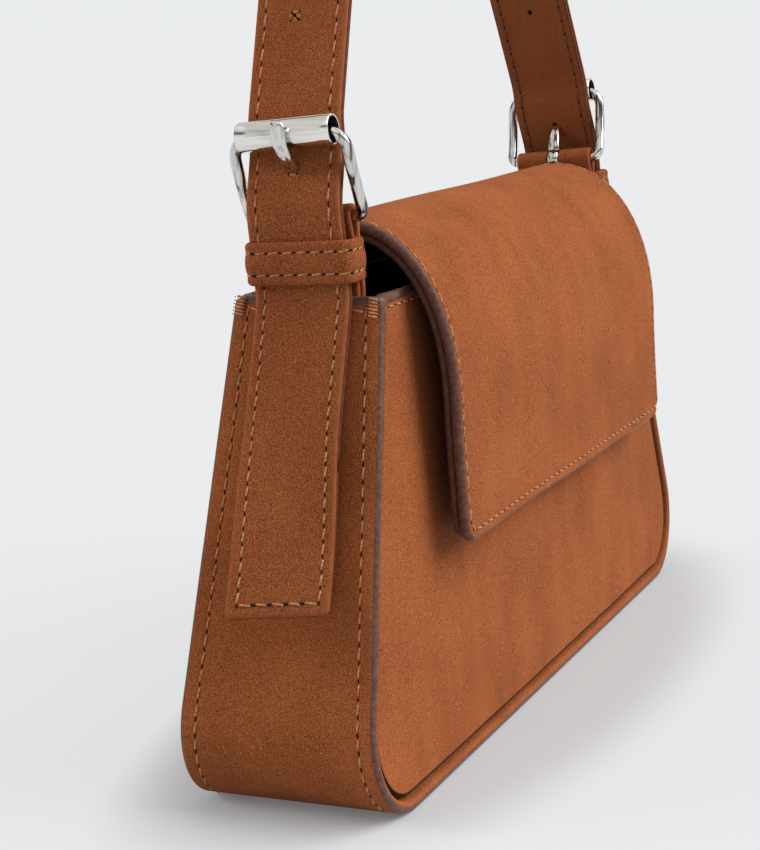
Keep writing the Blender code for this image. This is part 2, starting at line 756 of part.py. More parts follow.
PIVOT_POINT = tuple(leaned((0.0, 0.0, PIVOT_Z)))


def leg_u(heights):
    """Outer face of a strap leg above its roller: level at the roller, then leaning inwards."""
    rise = np.maximum(np.asarray(heights, float) - ROLLER_POINT[1], 0.0)
    eased = np.where(
        rise < STRAP_EASE,
        rise ** 2 / (2 * STRAP_EASE),
        rise - STRAP_EASE / 2,
    )
    return STRAP_BEHIND_U - math.tan(STRAP_IN_LEAN) * eased


def strap_end_path():
    """Outer face of the buckled strap end, from just above the roller to the tail's tip."""
    upper = ROLLER_POINT[1]
    lower = BAR_HEIGHT + WIRE_RADIUS
    heights = np.concatenate([
        np.linspace(upper + STRAP_END_RISE, upper, 4)[:-1],
        np.linspace(upper, lower, 13)[:-1],
        np.linspace(lower, BODY_HEIGHT, 6)[:-1],
        np.linspace(BODY_HEIGHT, TAIL_FOOT_HEIGHT, 14),
    ])
    crossing = smooth_step((upper - heights) / (upper - lower))
    u = leg_u(heights) + (STRAP_FRONT_U - STRAP_BEHIND_U) * crossing
    below = BODY_HEIGHT - heights
    stand_off = TAIL_STAND_OFF * smooth_step(below / TAIL_EASE)
    hang = end_line(heights) + CLEARANCE + stand_off + STRAP_THICKNESS
    tip = np.clip(below / (BODY_HEIGHT - TAIL_FOOT_HEIGHT), 0.0, 1.0)
    hang = hang + TAIL_TIP_KICK * tip ** 3
    u = np.where(below > 0, np.maximum(u, hang), u)
    return np.stack([u, heights], axis=1)


def band(path, near, far, half_widths, side, cuts=(), slot_half=0.0):
    """A strap layer along a path in (u, z), with rectangular cuts given as height ranges."""
    outer = offset_path(path, -near)
    inner = offset_path(path, -far)
    rows_outer = []
    rows_inner = []
    for (ou, oz), (iu, iz), half in zip(outer, inner, half_widths):
        columns = (-half, -slot_half, slot_half, half) if slot_half else (-half, 0.0, half)
        rows_outer.append([(side * ou, y, oz) for y in columns])
        rows_inner.append([(side * iu, y, iz) for y in columns])
    keep = np.ones((len(path) - 1, len(rows_outer[0]) - 1), bool)
    for high, low in cuts:
        for row in range(len(path) - 1):
            middle = (path[row][1] + path[row + 1][1]) / 2
            if low < middle < high:
                keep[row][1] = False
    return plate(rows_outer, rows_inner, keep)


def insert_heights(path, wanted):
    """Adds exact heights to a path that falls steadily."""
    heights = np.unique(np.concatenate([path[:, 1], wanted]))[::-1]
    u = np.interp(heights[::-1], path[::-1, 1], path[::-1, 0])[::-1]
    close = np.concatenate([[True], -np.diff(heights) > CLEARANCE])
    keep = close | np.isin(heights, wanted)
    return np.stack([u[keep], heights[keep]], axis=1)


def build_strap_end(label, side, face_surface, back_surface):
    """The strap from its bend down through buckle and keeper: a face and two backings."""
    path = strap_end_path()
    slot_high = PRONG_SLOT_HEIGHT + PRONG_SLOT_LENGTH / 2
    slot_low = PRONG_SLOT_HEIGHT - PRONG_SLOT_LENGTH / 2
    joint_high = TAIL_JOINT_HEIGHT + TAIL_JOINT_GAP / 2
    joint_low = TAIL_JOINT_HEIGHT - TAIL_JOINT_GAP / 2
    path = insert_heights(path, np.array([slot_high, slot_low, joint_high, joint_low]))
    rounded, widths = with_round_end(path, STRAP_WIDTH / 2, TAIL_CORNER_RADIUS, 3)
    half_slot = PRONG_SLOT_WIDTH / 2
    cuts = ((slot_high, slot_low),)
    points, faces = band(rounded, 0.0, STRAP_LAYER, widths, side, cuts, half_slot)
    add_object(f"{label}_strap_end_face", eased_lean(points), faces, face_surface)
    near = STRAP_LAYER + CLEARANCE
    far = near + STRAP_LAYER
    upper = rounded[:, 1] >= joint_high - CLEARANCE / 2
    lower = rounded[:, 1] <= joint_low + CLEARANCE / 2
    points, faces = band(rounded[upper], near, far, widths[upper], side, cuts, half_slot)
    add_object(f"{label}_strap_end_backing", eased_lean(points), faces, back_surface)
    points, faces = band(rounded[lower], near, far, widths[lower], side)
    add_object(f"{label}_tail_backing", points, faces, back_surface)


def arch_path():
    """Outer face of the strap above its bends, in (x, z), before it leans back."""
    start_z = PIVOT_Z + STRAP_BEND_RISE + CLEARANCE
    start = np.array([float(leg_u(start_z)), start_z])
    along = np.array([-math.sin(STRAP_IN_LEAN), math.cos(STRAP_IN_LEAN)])
    stations = [0.0]
    for number in range(STRAP_HOLE_COUNT):
        centre = STRAP_HOLE_FIRST + number * STRAP_HOLE_PITCH
        stations += [centre - STRAP_HOLE_SIZE / 2, centre + STRAP_HOLE_SIZE / 2]
    stations.append(STRAP_STRAIGHT)
    straight = start + np.outer(stations, along)
    radius = straight[-1][0] / math.cos(STRAP_IN_LEAN)
    centre_z = straight[-1][1] - radius * math.sin(STRAP_IN_LEAN)
    angles = np.linspace(STRAP_IN_LEAN, math.pi / 2, ARCH_STEPS)[1:]
    arc = np.stack([radius * np.cos(angles), centre_z + radius * np.sin(angles)], axis=1)
    arc[-1][0] = 0.0
    right = np.concatenate([straight, arc])
    left = right[:-1][::-1] * np.array([-1.0, 1.0])
    return np.concatenate([right, left])


def build_arch(name, near, far, surface, parent):
    """One layer of the free strap between its two bends."""
    path = arch_path()
    outer = offset_path(path, near)
    inner = offset_path(path, far)
    half = STRAP_WIDTH / 2
    hole_half = STRAP_HOLE_SIZE / 2
    columns = (-half, -hole_half, hole_half, half)
    rows_outer = [[(x, y, z) for y in columns] for x, z in outer]
    rows_inner = [[(x, y, z) for y in columns] for x, z in inner]
    keep = np.ones((len(path) - 1, 3), bool)
    for number in range(STRAP_HOLE_COUNT):
        row = 1 + 2 * number
        keep[row][1] = False
        keep[len(path) - 2 - row][1] = False
    points, faces = plate(rows_outer, rows_inner, keep)
    return add_object(name, leaned(points), faces, surface, PIVOT_POINT, parent)


def build_bend(label, side, layer, near, far, surface):
    """The short length of strap that twists when the free strap swings."""
    low = ROLLER_POINT[1] + STRAP_END_RISE + CLEARANCE
    high = PIVOT_Z + STRAP_BEND_RISE
    heights = np.linspace(high, low, BEND_STEPS)
    path = np.stack([leg_u(heights), heights], axis=1)
    outer = offset_path(path, -near)
    inner = offset_path(path, -far)
    half = STRAP_WIDTH / 2
    rows_outer = [[(side * u, y, z) for y in (-half, 0.0, half)] for u, z in outer]
    rows_inner = [[(side * u, y, z) for y in (-half, 0.0, half)] for u, z in inner]
    points, faces = plate(rows_outer, rows_inner)
    origin = leaned((side * BAR_U, 0.0, PIVOT_Z))
    add_object(f"{label}_strap_bend_{layer}", leaned(points), faces, surface, origin)


def frame_loop():
    """Centre line of the buckle frame as (y, v), v measured up the frame from the lower bar."""
    top = rounded_rectangle(FRAME_WIDTH / 2, FRAME_HEIGHT / 2, FRAME_TOP_RADIUS, 5)
    foot = rounded_rectangle(FRAME_WIDTH / 2, FRAME_HEIGHT / 2, FRAME_FOOT_RADIUS, 5)
    loop = np.concatenate([top[top[:, 1] > 0], foot[foot[:, 1] < 0]])
    loop[:, 1] += FRAME_HEIGHT / 2
    return loop


def build_frame(label, side, metal):
    """The wire frame, closed, a little bowed along its arms."""
    normal = np.array([FRAME_AXIS[1], -FRAME_AXIS[0]])
    path = []
    for y, v in frame_loop():
        bow = FRAME_BOW * math.sin(math.pi * np.clip(v / FRAME_HEIGHT, 0, 1))
        u, z = BAR_POINT + FRAME_AXIS * v + normal * bow
        path.append((side * u, y, z))
    points, faces = sweep(path, WIRE_RADIUS, cyclic=True)
    add_object(f"{label}_buckle_frame", leaned(points), faces, metal)


def build_roller(label, side, metal):
    """A rolled tube on the frame's upper bar."""
    centre = np.array([side * ROLLER_POINT[0], 0.0, ROLLER_POINT[1]])
    turn = np.arange(ROUND_STEPS) * 2 * math.pi / ROUND_STEPS
    rings = []
    half = ROLLER_LENGTH / 2
    for radius, y in (
        (ROLLER_RADIUS, -half),
        (ROLLER_RADIUS, half),
        (ROLLER_BORE_RADIUS, half),
        (ROLLER_BORE_RADIUS, -half),
    ):
        ring = np.stack(
            [radius * np.cos(turn), np.full(ROUND_STEPS, y), radius * np.sin(turn)], axis=1
        )
        rings.append(ring + centre)
    points, faces = loft(rings, cyclic=True)
    add_object(f"{label}_roller", leaned(points), faces, metal, leaned(centre))


def prong_path():
    """Centre line of the prong in (u, z): a hook round the lower bar, then up to the roller."""
    hook = WIRE_RADIUS + RUNNING_CLEARANCE + PRONG_RADIUS
    angles = np.linspace(PRONG_HOOK_START, PRONG_HOOK_END, 11)
    ring = BAR_POINT + hook * np.stack([np.cos(angles), np.sin(angles)], axis=1)
    rest = ROLLER_RADIUS + CLEARANCE + PRONG_RADIUS
    towards = np.array([math.cos(PRONG_REST_ANGLE), math.sin(PRONG_REST_ANGLE)])
    touch = ROLLER_POINT + rest * towards
    tip = ROLLER_POINT + np.array([rest, PRONG_TIP_RISE])
    slot = np.array([
        np.interp(PRONG_SLOT_HEIGHT, [BAR_HEIGHT, ROLLER_POINT[1]], [BAR_U, ROLLER_POINT[0]]),
        PRONG_SLOT_HEIGHT,
    ])
    leave = ring[-1]
    knee = (touch + slot) / 2 - np.array([0.0, PRONG_RADIUS])
    shank = bezier(leave, leave + np.array([0.0, PRONG_SHANK_RISE]), slot, knee, 6)
    rise = bezier(knee, (knee + touch) / 2, touch - np.array([0.0, PRONG_RADIUS]), touch, 4)
    return np.concatenate([ring[:-1], shank, rise[1:], [tip]])


def build_prong(label, side, metal):
    """The prong: a wire hooked on the lower bar, its tip resting on the roller."""
    path = prong_path()
    radii = np.full(len(path), PRONG_RADIUS)
    radii[-1] = PRONG_RADIUS * PRONG_TIP_share
    points, faces = sweep([(side * u, 0.0, z) for u, z in path], radii)
    origin = leaned((side * BAR_U, 0.0, BAR_HEIGHT))
    add_object(f"{label}_prong", leaned(points), faces, metal, origin)


def tab_path():
    """Middle of the tab's leather in (u, z), from inside the bag round the bar and back."""
    loop = WIRE_RADIUS + RUNNING_CLEARANCE + TAB_THICKNESS / 2
    half_gap = (TAB_GAP + TAB_THICKNESS) / 2
    closed = (CLEARANCE + TAB_THICKNESS) / 2
    foot = BODY_HEIGHT - TAB_DEPTH_IN_BAG
    slope = (BODY_FOOT_HALF - BODY_TOP_HALF) / BODY_HEIGHT
    bend = BODY_HEIGHT - TAB_THICKNESS
    middle = (bend + foot) / 2

    def layer(sign):
        centre_low = TAB_FRONT_U - TAB_THICKNESS - CLEARANCE / 2
        low = centre_low + sign * closed
        points = [
            (low + slope * (bend - foot), foot),
            (low + slope * (bend - middle), middle),
            (BAR_U + sign * half_gap, bend),
            (BAR_U + sign * half_gap, BAR_HEIGHT - TAB_SLOT_DROP),
            (BAR_U + sign * (half_gap + loop) / 2, BAR_HEIGHT - TAB_NECK_DROP),
        ]
        return points

    angles = np.linspace(math.pi, 0.0, 11)
    arc = [(BAR_U + loop * math.cos(a), BAR_HEIGHT + loop * math.sin(a)) for a in angles]
    return np.array(layer(-1) + arc + layer(1)[::-1])


def build_tab(label, side, surface):
    """The folded tab that holds the buckle, slotted at its fold for the prong."""
    path = tab_path()
    half = TAB_WIDTH / 2
    slot = TAB_SLOT_WIDTH / 2
    thickness = TAB_THICKNESS / 2
    outer = offset_path(path, thickness)
    inner = offset_path(path, -thickness)
    columns = (-half, -slot, slot, half)
    rows_outer = [[(side * u, y, z) for y in columns] for u, z in outer]
    rows_inner = [[(side * u, y, z) for y in columns] for u, z in inner]
    keep = np.ones((len(path) - 1, 3), bool)
    for row in range(len(path) - 1):
        middle = (path[row][1] + path[row + 1][1]) / 2
        if middle > BAR_HEIGHT - TAB_SLOT_DROP:
            keep[row][1] = False
    points, faces = plate(rows_outer, rows_inner, keep)
    add_object(f"{label}_anchor_tab", eased_lean(points), faces, surface)


def build_keeper(label, side, surface):
    """The keeper: a band round the strap and the tab's front layer."""
    front_in = STRAP_FRONT_U + RUNNING_CLEARANCE
    front_out = front_in + KEEPER_FRONT_WALL
    rear_in = BAR_U + KEEPER_REAR_WALL / 2
    rear_out = BAR_U - KEEPER_REAR_WALL / 2
    half_in = TAB_WIDTH / 2 + RUNNING_CLEARANCE
    half_out = half_in + KEEPER_SIDE_WALL
    radius_in = CLEARANCE
    outer = rounded_rectangle((front_out - rear_out) / 2, half_out, KEEPER_CORNER_RADIUS)
    inner = rounded_rectangle((front_in - rear_in) / 2, half_in, radius_in)
    outer_mid = (front_out + rear_out) / 2
    inner_mid = (front_in + rear_in) / 2
    low = KEEPER_FOOT_HEIGHT
    high = low + KEEPER_HEIGHT

    def ring(shape, middle, z):
        return np.stack(
            [side * (middle + shape[:, 0]), shape[:, 1], np.full(len(shape), z)], axis=1
        )

    rings = [
        ring(outer, outer_mid, low),
        ring(outer, outer_mid, high),
        ring(inner, inner_mid, high),
        ring(inner, inner_mid, low),
    ]
    points, faces = loft(rings, cyclic=True)
    origin = leaned((side * inner_mid, 0.0, (low + high) / 2))
    add_object(f"{label}_keeper", leaned(points), faces, surface, origin, smooth=False)


def main():
    """Builds every piece of the bag."""
    clear_scene()
    nubuck = material("tan_nubuck", "AB643E", 0.85, 0.0)
    nubuck_dark = material("tan_nubuck_flesh_side", "7F472C", 0.9, 0.0)
    cloth = material("black_lining_cloth", "17161A", 0.9, 0.0)
    board = material("grey_board", "6E6A64", 0.9, 0.0)
    chrome = material("chrome_plated_zinc", "D8D8D6", 0.08, 1.0)
    steel = material("nickel_plated_steel", "B9B7B0", 0.25, 1.0)

    build_gusset(nubuck)
    build_panel("front_panel", -1, nubuck)
    build_panel("back_panel", 1, nubuck)
    build_lining(cloth)
    build_board(board)

    hinge = add_empty("flap_hinge_axis", HINGE_POINT)
    build_lap(nubuck)
    build_flap_layer(
        "flap_outer",
        0.0,
        FLAP_THICKNESS,
        FLAP_HALF_LENGTH,
        0.0,
        0.0,
        FLAP_CORNER_RADIUS,
        nubuck,
        hinge,
    )
    build_flap_layer(
        "flap_lining",
        FLAP_THICKNESS + CLEARANCE,
        FLAP_STACK,
        FLAP_HALF_LENGTH - FLAP_LINING_INSET,
        HINGE_DROP + FLAP_LINING_INSET,
        FLAP_LINING_INSET / 2,
        FLAP_CORNER_RADIUS,
        nubuck_dark,
        hinge,
    )
    build_snap(steel, hinge)

    bend = add_empty("strap_swing_axis", PIVOT_POINT)
    backing_near = STRAP_LAYER + CLEARANCE
    build_arch("strap_face", 0.0, STRAP_LAYER, nubuck, bend)
    build_arch("strap_backing", backing_near, STRAP_THICKNESS, nubuck_dark, bend)
    for label, side in (("left", -1), ("right", 1)):
        build_bend(label, side, "face", 0.0, STRAP_LAYER, nubuck)
        build_bend(label, side, "backing", backing_near, STRAP_THICKNESS, nubuck_dark)
        build_strap_end(label, side, nubuck, nubuck_dark)
        build_tab(label, side, nubuck)
        build_frame(label, side, chrome)
        build_roller(label, side, chrome)
        build_prong(label, side, chrome)
        build_keeper(label, side, nubuck)


main()
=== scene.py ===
# %% [markdown]
# # A tan nubuck shoulder bag, dressed over its CAD frame
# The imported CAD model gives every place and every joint. This lesson makes the surfaces that
# are seen: leather sheets with painted cut edges, sewn threads, rolled chrome buckles and a
# black lining. Each leather piece is a function of two parameters, laid out on a grid.

# %% Load the frame
import math

import bpy
import numpy as np
from mathutils import Matrix


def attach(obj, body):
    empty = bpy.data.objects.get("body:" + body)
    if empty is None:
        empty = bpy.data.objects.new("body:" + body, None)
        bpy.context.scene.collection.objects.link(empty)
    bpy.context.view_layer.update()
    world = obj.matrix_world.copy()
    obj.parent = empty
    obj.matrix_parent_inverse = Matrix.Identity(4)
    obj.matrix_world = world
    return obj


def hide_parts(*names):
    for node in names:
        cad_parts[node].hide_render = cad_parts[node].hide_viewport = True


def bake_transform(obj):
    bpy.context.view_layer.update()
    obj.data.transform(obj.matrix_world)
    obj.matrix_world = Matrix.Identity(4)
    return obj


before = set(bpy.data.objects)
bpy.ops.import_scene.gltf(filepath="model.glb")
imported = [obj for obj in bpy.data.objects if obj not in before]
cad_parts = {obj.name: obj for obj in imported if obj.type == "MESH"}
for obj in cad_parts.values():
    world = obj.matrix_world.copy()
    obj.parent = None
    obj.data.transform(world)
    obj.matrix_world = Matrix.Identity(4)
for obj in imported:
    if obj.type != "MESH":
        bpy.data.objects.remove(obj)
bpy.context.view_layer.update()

# %% [markdown]
# ## Sizes
# The real bag is sewn from sheets whose places were settled in the CAD. The same named sizes
# are repeated here, in metres, because this file can't read the CAD's source.

# %% Sizes of body and flap
GAP = 0.0003
BODY_HEIGHT = 0.126
BODY_TOP_HALF, BODY_FOOT_HALF = 0.103, 0.141
BODY_TOP_DEPTH, BODY_FOOT_DEPTH = 0.040, 0.055
BODY_CORNER_RADIUS = 0.0225
GUSSET_THICKNESS = 0.0030
RIM_PROUD = 0.0012
PANEL_THICKNESS, PANEL_TURN_DEPTH, PANEL_CROWN = 0.0018, 0.0035, 0.0022
LINING_THICKNESS, LINING_TOP_DROP = 0.0007, 0.0050
LINING_END_INSET, LINING_SIDE_INSET = 0.0094, 0.0052
LINING_CORNER_RADIUS, LINING_EDGE_RADIUS, BOARD_THICKNESS = 0.0200, 0.0050, 0.0016

FLAP_HALF_LENGTH = BODY_TOP_HALF - 0.0135
FLAP_OFF_MIDDLE = 0.0030
FLAP_THICKNESS, FLAP_LINING_THICKNESS, FLAP_LINING_INSET = 0.0027, 0.0020, 0.0012
FLAP_CORNER_RADIUS = 0.0060
FLAP_FOOT_HEIGHT = BODY_HEIGHT - 0.0647
FLAP_CREST = np.array([-0.0016, BODY_HEIGHT + 0.0180])
FLAP_SHOULDER_HEIGHT = BODY_HEIGHT - 0.0325
FLAP_SHOULDER_IN, FLAP_FOOT_OUT = 0.0006, 0.0002
REAR_ROLL, CREST_ROLL, SHOULDER_ROLL = 0.5523, 0.629, 0.568
HINGE_Z = BODY_HEIGHT - 0.0018
LAP_HEIGHT = 0.0150
SNAP_HEIGHT = BODY_HEIGHT - 0.0560
SNAP_SOCKET_RADIUS, SNAP_SOCKET_THICKNESS = 0.0080, 0.0016
SNAP_STUD_THICKNESS = 0.0013

ENDS = (("left", -1), ("right", 1))
print("body", BODY_HEIGHT, "m high, flap down to", FLAP_FOOT_HEIGHT)

# %% [markdown]
# Strap, buckles, tabs and keepers are sized the same way, and the places that follow from those
# sizes are worked out once. A place in a side plane is (u, z), with u the distance from the middle.

# %% Sizes of strap and buckles
STRAP_WIDTH, STRAP_LAYER = 0.0250, 0.0014
STRAP_THICKNESS = 2 * STRAP_LAYER + GAP
STRAP_BACK_LEAN, STRAP_IN_LEAN = math.radians(4.3), math.radians(25.0)
STRAP_STRAIGHT, STRAP_EASE = 0.118, 0.0060
STRAP_END_RISE, STRAP_PIVOT_RISE, STRAP_BEND_RISE = 0.0055, 0.0105, 0.0135
HOLE_FIRST, HOLE_PITCH, HOLE_COUNT = 0.0040, 0.0360, 3
TAIL_FOOT_HEIGHT = BODY_HEIGHT - 0.0720
TAIL_STAND_OFF, TAIL_EASE, TAIL_TIP_KICK = 0.0012, 0.0420, 0.0030
TAIL_CORNER_RADIUS = 0.0016
TAIL_TURN, TAIL_TURN_START, TAIL_TURN_AXIS = math.radians(22.0), BODY_HEIGHT - 0.0240, -0.0050
TAIL_FORWARD = 0.0022
TAIL_JOINT_HEIGHT, TAIL_JOINT_GAP = BODY_HEIGHT - 0.0380, 0.0020

WIRE_RADIUS = 0.0015
FRAME_WIDTH, FRAME_HEIGHT, FRAME_BOW = 0.0302, 0.0221, 0.0007
FRAME_TOP_RADIUS, FRAME_FOOT_RADIUS = 0.0050, 0.0025
FRAME_LEAN = math.radians(17.5)
BAR_HEIGHT = BODY_HEIGHT + 0.0186
ROLLER_RADIUS, ROLLER_BORE, ROLLER_LENGTH, ROLLER_DROP = 0.00375, 0.00315, 0.0250, 0.0005
PRONG_RADIUS, PRONG_SHANK_RISE, PRONG_TIP_RISE = 0.0011, 0.0030, 0.0035
PRONG_SLOT_HEIGHT = BAR_HEIGHT + 0.0116

TAB_WIDTH, TAB_THICKNESS, TAB_GAP, TAB_DEPTH_IN_BAG = 0.0250, 0.0014, 0.0020, 0.0160
TAB_SLOT_WIDTH, TAB_NECK_DROP, TAB_SLOT_DROP = 0.0040, 0.0028, 0.0045
KEEPER_FOOT, KEEPER_HEIGHT = BODY_HEIGHT + 0.0037, 0.0106
KEEPER_FRONT_WALL, KEEPER_REAR_WALL, KEEPER_SIDE_WALL = 0.0016, 0.0012, 0.0016
LEAN_START = BODY_HEIGHT - 0.0030

TAB_FRONT_U = BODY_TOP_HALF - GUSSET_THICKNESS - GAP
BAR_U = TAB_FRONT_U - TAB_THICKNESS - TAB_GAP / 2
FRAME_AXIS = np.array([math.sin(FRAME_LEAN), math.cos(FRAME_LEAN)])
BAR_POINT = np.array([BAR_U, BAR_HEIGHT])
ROLLER_POINT = BAR_POINT + FRAME_AXIS * (FRAME_HEIGHT + ROLLER_DROP)
STRAP_BEHIND_U = ROLLER_POINT[0] - ROLLER_RADIUS - GAP
STRAP_FRONT_U = BODY_TOP_HALF + GAP + STRAP_THICKNESS
PIVOT_Z = ROLLER_POINT[1] + STRAP_PIVOT_RISE
print("roller axis", ROLLER_POINT, "swing line", PIVOT_Z)

# %% [markdown]
# ## Camera
# The photograph was taken from the bag's left end and a little above, with a long lens held
# slightly turned. The place, direction and turn were solved from the bag's own edges.

# %% Camera
CAMERA_PLACE = (-0.5584, -0.2141, 0.1914)
CAMERA_AZIMUTH, CAMERA_ELEVATION = math.radians(-66.7), math.radians(11.0)
CAMERA_ROLL = math.radians(-2.3)
CAMERA_LENS, CAMERA_SENSOR = 98.0, 36.0

back = np.array([
    math.sin(CAMERA_AZIMUTH) * math.cos(CAMERA_ELEVATION),
    -math.cos(CAMERA_AZIMUTH) * math.cos(CAMERA_ELEVATION),
    math.sin(CAMERA_ELEVATION),
])
level = np.array([math.cos(CAMERA_AZIMUTH), math.sin(CAMERA_AZIMUTH), 0.0])
upright = np.cross(back, level)
right = math.cos(CAMERA_ROLL) * level + math.sin(CAMERA_ROLL) * upright
up = -math.sin(CAMERA_ROLL) * level + math.cos(CAMERA_ROLL) * upright

lens = bpy.data.cameras.new("camera")
lens.lens = CAMERA_LENS
lens.sensor_width = CAMERA_SENSOR
lens.sensor_fit = "HORIZONTAL"
lens.clip_start = 0.01
camera = bpy.data.objects.new("camera", lens)
turn = Matrix(np.column_stack([right, up, back]).tolist()).to_4x4()
camera.matrix_world = Matrix.Translation(CAMERA_PLACE) @ turn
bpy.context.scene.collection.objects.link(camera)
bpy.context.scene.camera = camera
print("camera at", CAMERA_PLACE)

# %% [markdown]
# ## Colours and shader nodes
# A colour is written as the sRGB hex value that the eye would pick, and turned to the linear
# value that the renderer adds up. One function adds any node with its settings and links.

# %% Colour and node helpers
def linear(hex_colour):
    """sRGB hex to linear RGBA: c/12.92 below 0.04045, else ((c + 0.055)/1.055) to the 2.4."""
    level = np.array([int(hex_colour[i:i + 2], 16) for i in (0, 2, 4)]) / 255
    low, high = level / 12.92, ((level + 0.055) / 1.055) ** 2.4
    return (*np.where(level <= 0.04045, low, high).tolist(), 1.0)


def add(tree, kind, inputs=None, out=0, **settings):
    """Adds a node and returns one output; each input takes a value or another node's output."""
    node = tree.nodes.new("ShaderNode" + kind)
    for key, value in settings.items():
        setattr(node, key, value)
    for key, value in (inputs or {}).items():
        if isinstance(value, bpy.types.NodeSocket):
            tree.links.new(value, node.inputs[key])
        else:
            node.inputs[key].default_value = value
    return node.outputs[out] if len(node.outputs) else None


def new_material(name):
    """An empty node material and its tree."""
    made = bpy.data.materials.new(name)
    made.use_nodes = True
    made.node_tree.nodes.clear()
    return made, made.node_tree


print("nubuck tan in linear light", linear("C46C3A"))

# %% [markdown]
# ## Nubuck
# Nubuck is leather whose grain side is sanded to a short nap. The eye sees a soft matt
# surface: cloudy patches where the nap lies differently, faint upright brushing, and a fine
# grain of dark and pale fibres. The real fibres are finer than a pixel, so the grain is drawn
# at 0.22 mm. Cut edges are rounded and painted a mauve brown. The paint comes from an
# attribute that the sheets carry, so it follows every edge exactly. The strap is the same
# leather brushed darker, its inside is the split flesh side, and a torn lip is paler.

# %% Nubuck
BRUSH_WIDTH, BRUSH_LENGTH = 0.010, 0.045
CLOUD_SIZE, NAP_SIZE, SPECK_SIZE = 0.030, 0.00022, 0.0013
NAP_DEPTH = 0.00012


def nubuck(name, light, deep, paint=("6A473B", "7E5C4E"), paint_rough=0.42, nap_share=1.0, sheen=0.08):
    """Sanded leather between two browns, painted where edge_paint is 1, near black where a seam carries
    painted shade.
    """
    made, tree = new_material(name)
    place = add(tree, "TexCoord", out="Object")
    strokes = (1 / BRUSH_WIDTH, 1 / BRUSH_WIDTH, 1 / BRUSH_LENGTH)
    brushed = add(tree, "Mapping", {"Vector": place, "Scale": strokes})
    cloud = add(tree, "TexNoise", {"Vector": place, "Scale": 1 / CLOUD_SIZE, "Detail": 2.0, "Roughness": 0.5})
    brush = add(tree, "TexNoise", {"Vector": brushed, "Scale": 1.0, "Detail": 3.0})
    nap = add(tree, "TexNoise", {"Vector": place, "Scale": 1 / NAP_SIZE, "Detail": 1.0, "Roughness": 0.6})
    speck = add(tree, "TexNoise", {"Vector": place, "Scale": 1 / SPECK_SIZE, "Detail": 3.0})
    painted, seam_shade = [
        add(tree, "Attribute", out="Fac", attribute_name=mark, attribute_type="GEOMETRY")
        for mark in ("edge_paint", "crevice")
    ]
    share = {
        key: add(
            tree, "MapRange", {"Value": value, "From Min": low, "From Max": high},
            interpolation_type=kind,
        )
        for key, value, low, high, kind in (
            ("cloud", cloud, 0.32, 0.68, "LINEAR"),
            ("brush", brush, 0.30, 0.70, "LINEAR"),
            ("dark nap", nap, 0.50, 0.30, "LINEAR"),
            ("pale nap", nap, 0.52, 0.72, "LINEAR"),
            ("scuff", speck, 0.62, 0.74, "SMOOTHSTEP"),
            ("smear", speck, 0.35, 0.70, "SMOOTHSTEP"),
            ("paint", painted, 0.35, 0.65, "SMOOTHSTEP"),
            ("bare", painted, 0.6, 0.3, "SMOOTHSTEP"),
            ("crevice", seam_shade, 0.25, 0.75, "SMOOTHSTEP"),
        )
    }
    lay = add(tree, "Math", {0: share["cloud"], 1: 0.60}, operation="MULTIPLY")
    lay = add(tree, "Math", {0: share["brush"], 1: 0.40, 2: lay}, operation="MULTIPLY_ADD")
    colour = add(tree, "Mix", {0: lay, 6: linear(deep), 7: linear(light)}, 2, data_type="RGBA")
    for key, strength, tint in (
        ("dark nap", 0.85 * nap_share, "321507"),
        ("pale nap", 0.60 * nap_share, "F2A468"),
        ("scuff", 0.22, "6E3A20"),
    ):
        tinted = add(tree, "Mix", {0: strength, 6: colour, 7: linear(tint)}, 2, data_type="RGBA")
        colour = add(tree, "Mix", {0: share[key], 6: colour, 7: tinted}, 2, data_type="RGBA")
    thin, thick = linear(paint[0]), linear(paint[1])
    coat = add(tree, "Mix", {0: share["smear"], 6: thin, 7: thick}, 2, data_type="RGBA")
    # Painted shade: near black where a sheet marks the shadow deep in a seam or between layers.
    for key, over in (("paint", coat), ("crevice", linear("1A0C07"))):
        colour = add(tree, "Mix", {0: share[key], 6: colour, 7: over}, 2, data_type="RGBA")
    fibre = add(tree, "Math", {0: nap, 1: share["bare"]}, operation="MULTIPLY")
    shader = add(tree, "BsdfPrincipled", {
        "Base Color": colour,
        "Roughness": add(tree, "MapRange", {"Value": share["paint"], "To Min": 0.92, "To Max": paint_rough}),
        "Normal": add(tree, "Bump", {"Height": fibre, "Distance": NAP_DEPTH, "Strength": 0.8}),
        "IOR": 1.45,
        "Specular IOR Level": 0.2,
        "Sheen Weight": sheen,
        "Sheen Roughness": 0.45,
        "Sheen Tint": linear("E8A070"),
    })
    add(tree, "OutputMaterial", {"Surface": shader})
    return made


tan_nubuck = nubuck("tan_nubuck_sanded", "C46C3A", "9F522A")
strap_nubuck = nubuck("tan_nubuck_strap", "B06036", "9A4E2A", ("A45832", "B2663C"), 0.7)
lip_nubuck = nubuck("tan_nubuck_torn_lip", "E6A066", "B86E3C")
flesh_side = nubuck("tan_nubuck_flesh_side_split", "A25E36", "8E4E2C", ("744128", "844E32"), 0.7, 0.4)
flap_flesh = nubuck("tan_nubuck_flap_flesh_side", "955430", "834628", ("5E4236", "705044"), 0.5)
print("leathers", tan_nubuck.name, strap_nubuck.name, flesh_side.name)

# %% [markdown]
# ## Thread, lining, board and metals
# The thread is a twisted polyester, paler than the leather; the bobbin thread inside the strap
# is dark. Edge paint is rubbed on in coats, so its gloss is uneven. The lining is a plain black
# woven cloth: two crossed waves give its threads. The grey board is pressed fibre, fully matt.

# %% Thread, paint, cloth and board
THREAD_TWIST, THREAD_RELIEF = 0.0006, 0.00008
WEAVE_SCALE, WEAVE_DEPTH = 1 / 0.006, 0.00015
PAINT_SMEAR, HOLE_FUZZ, BOARD_FIBRE = 0.004, 0.001, 0.0009


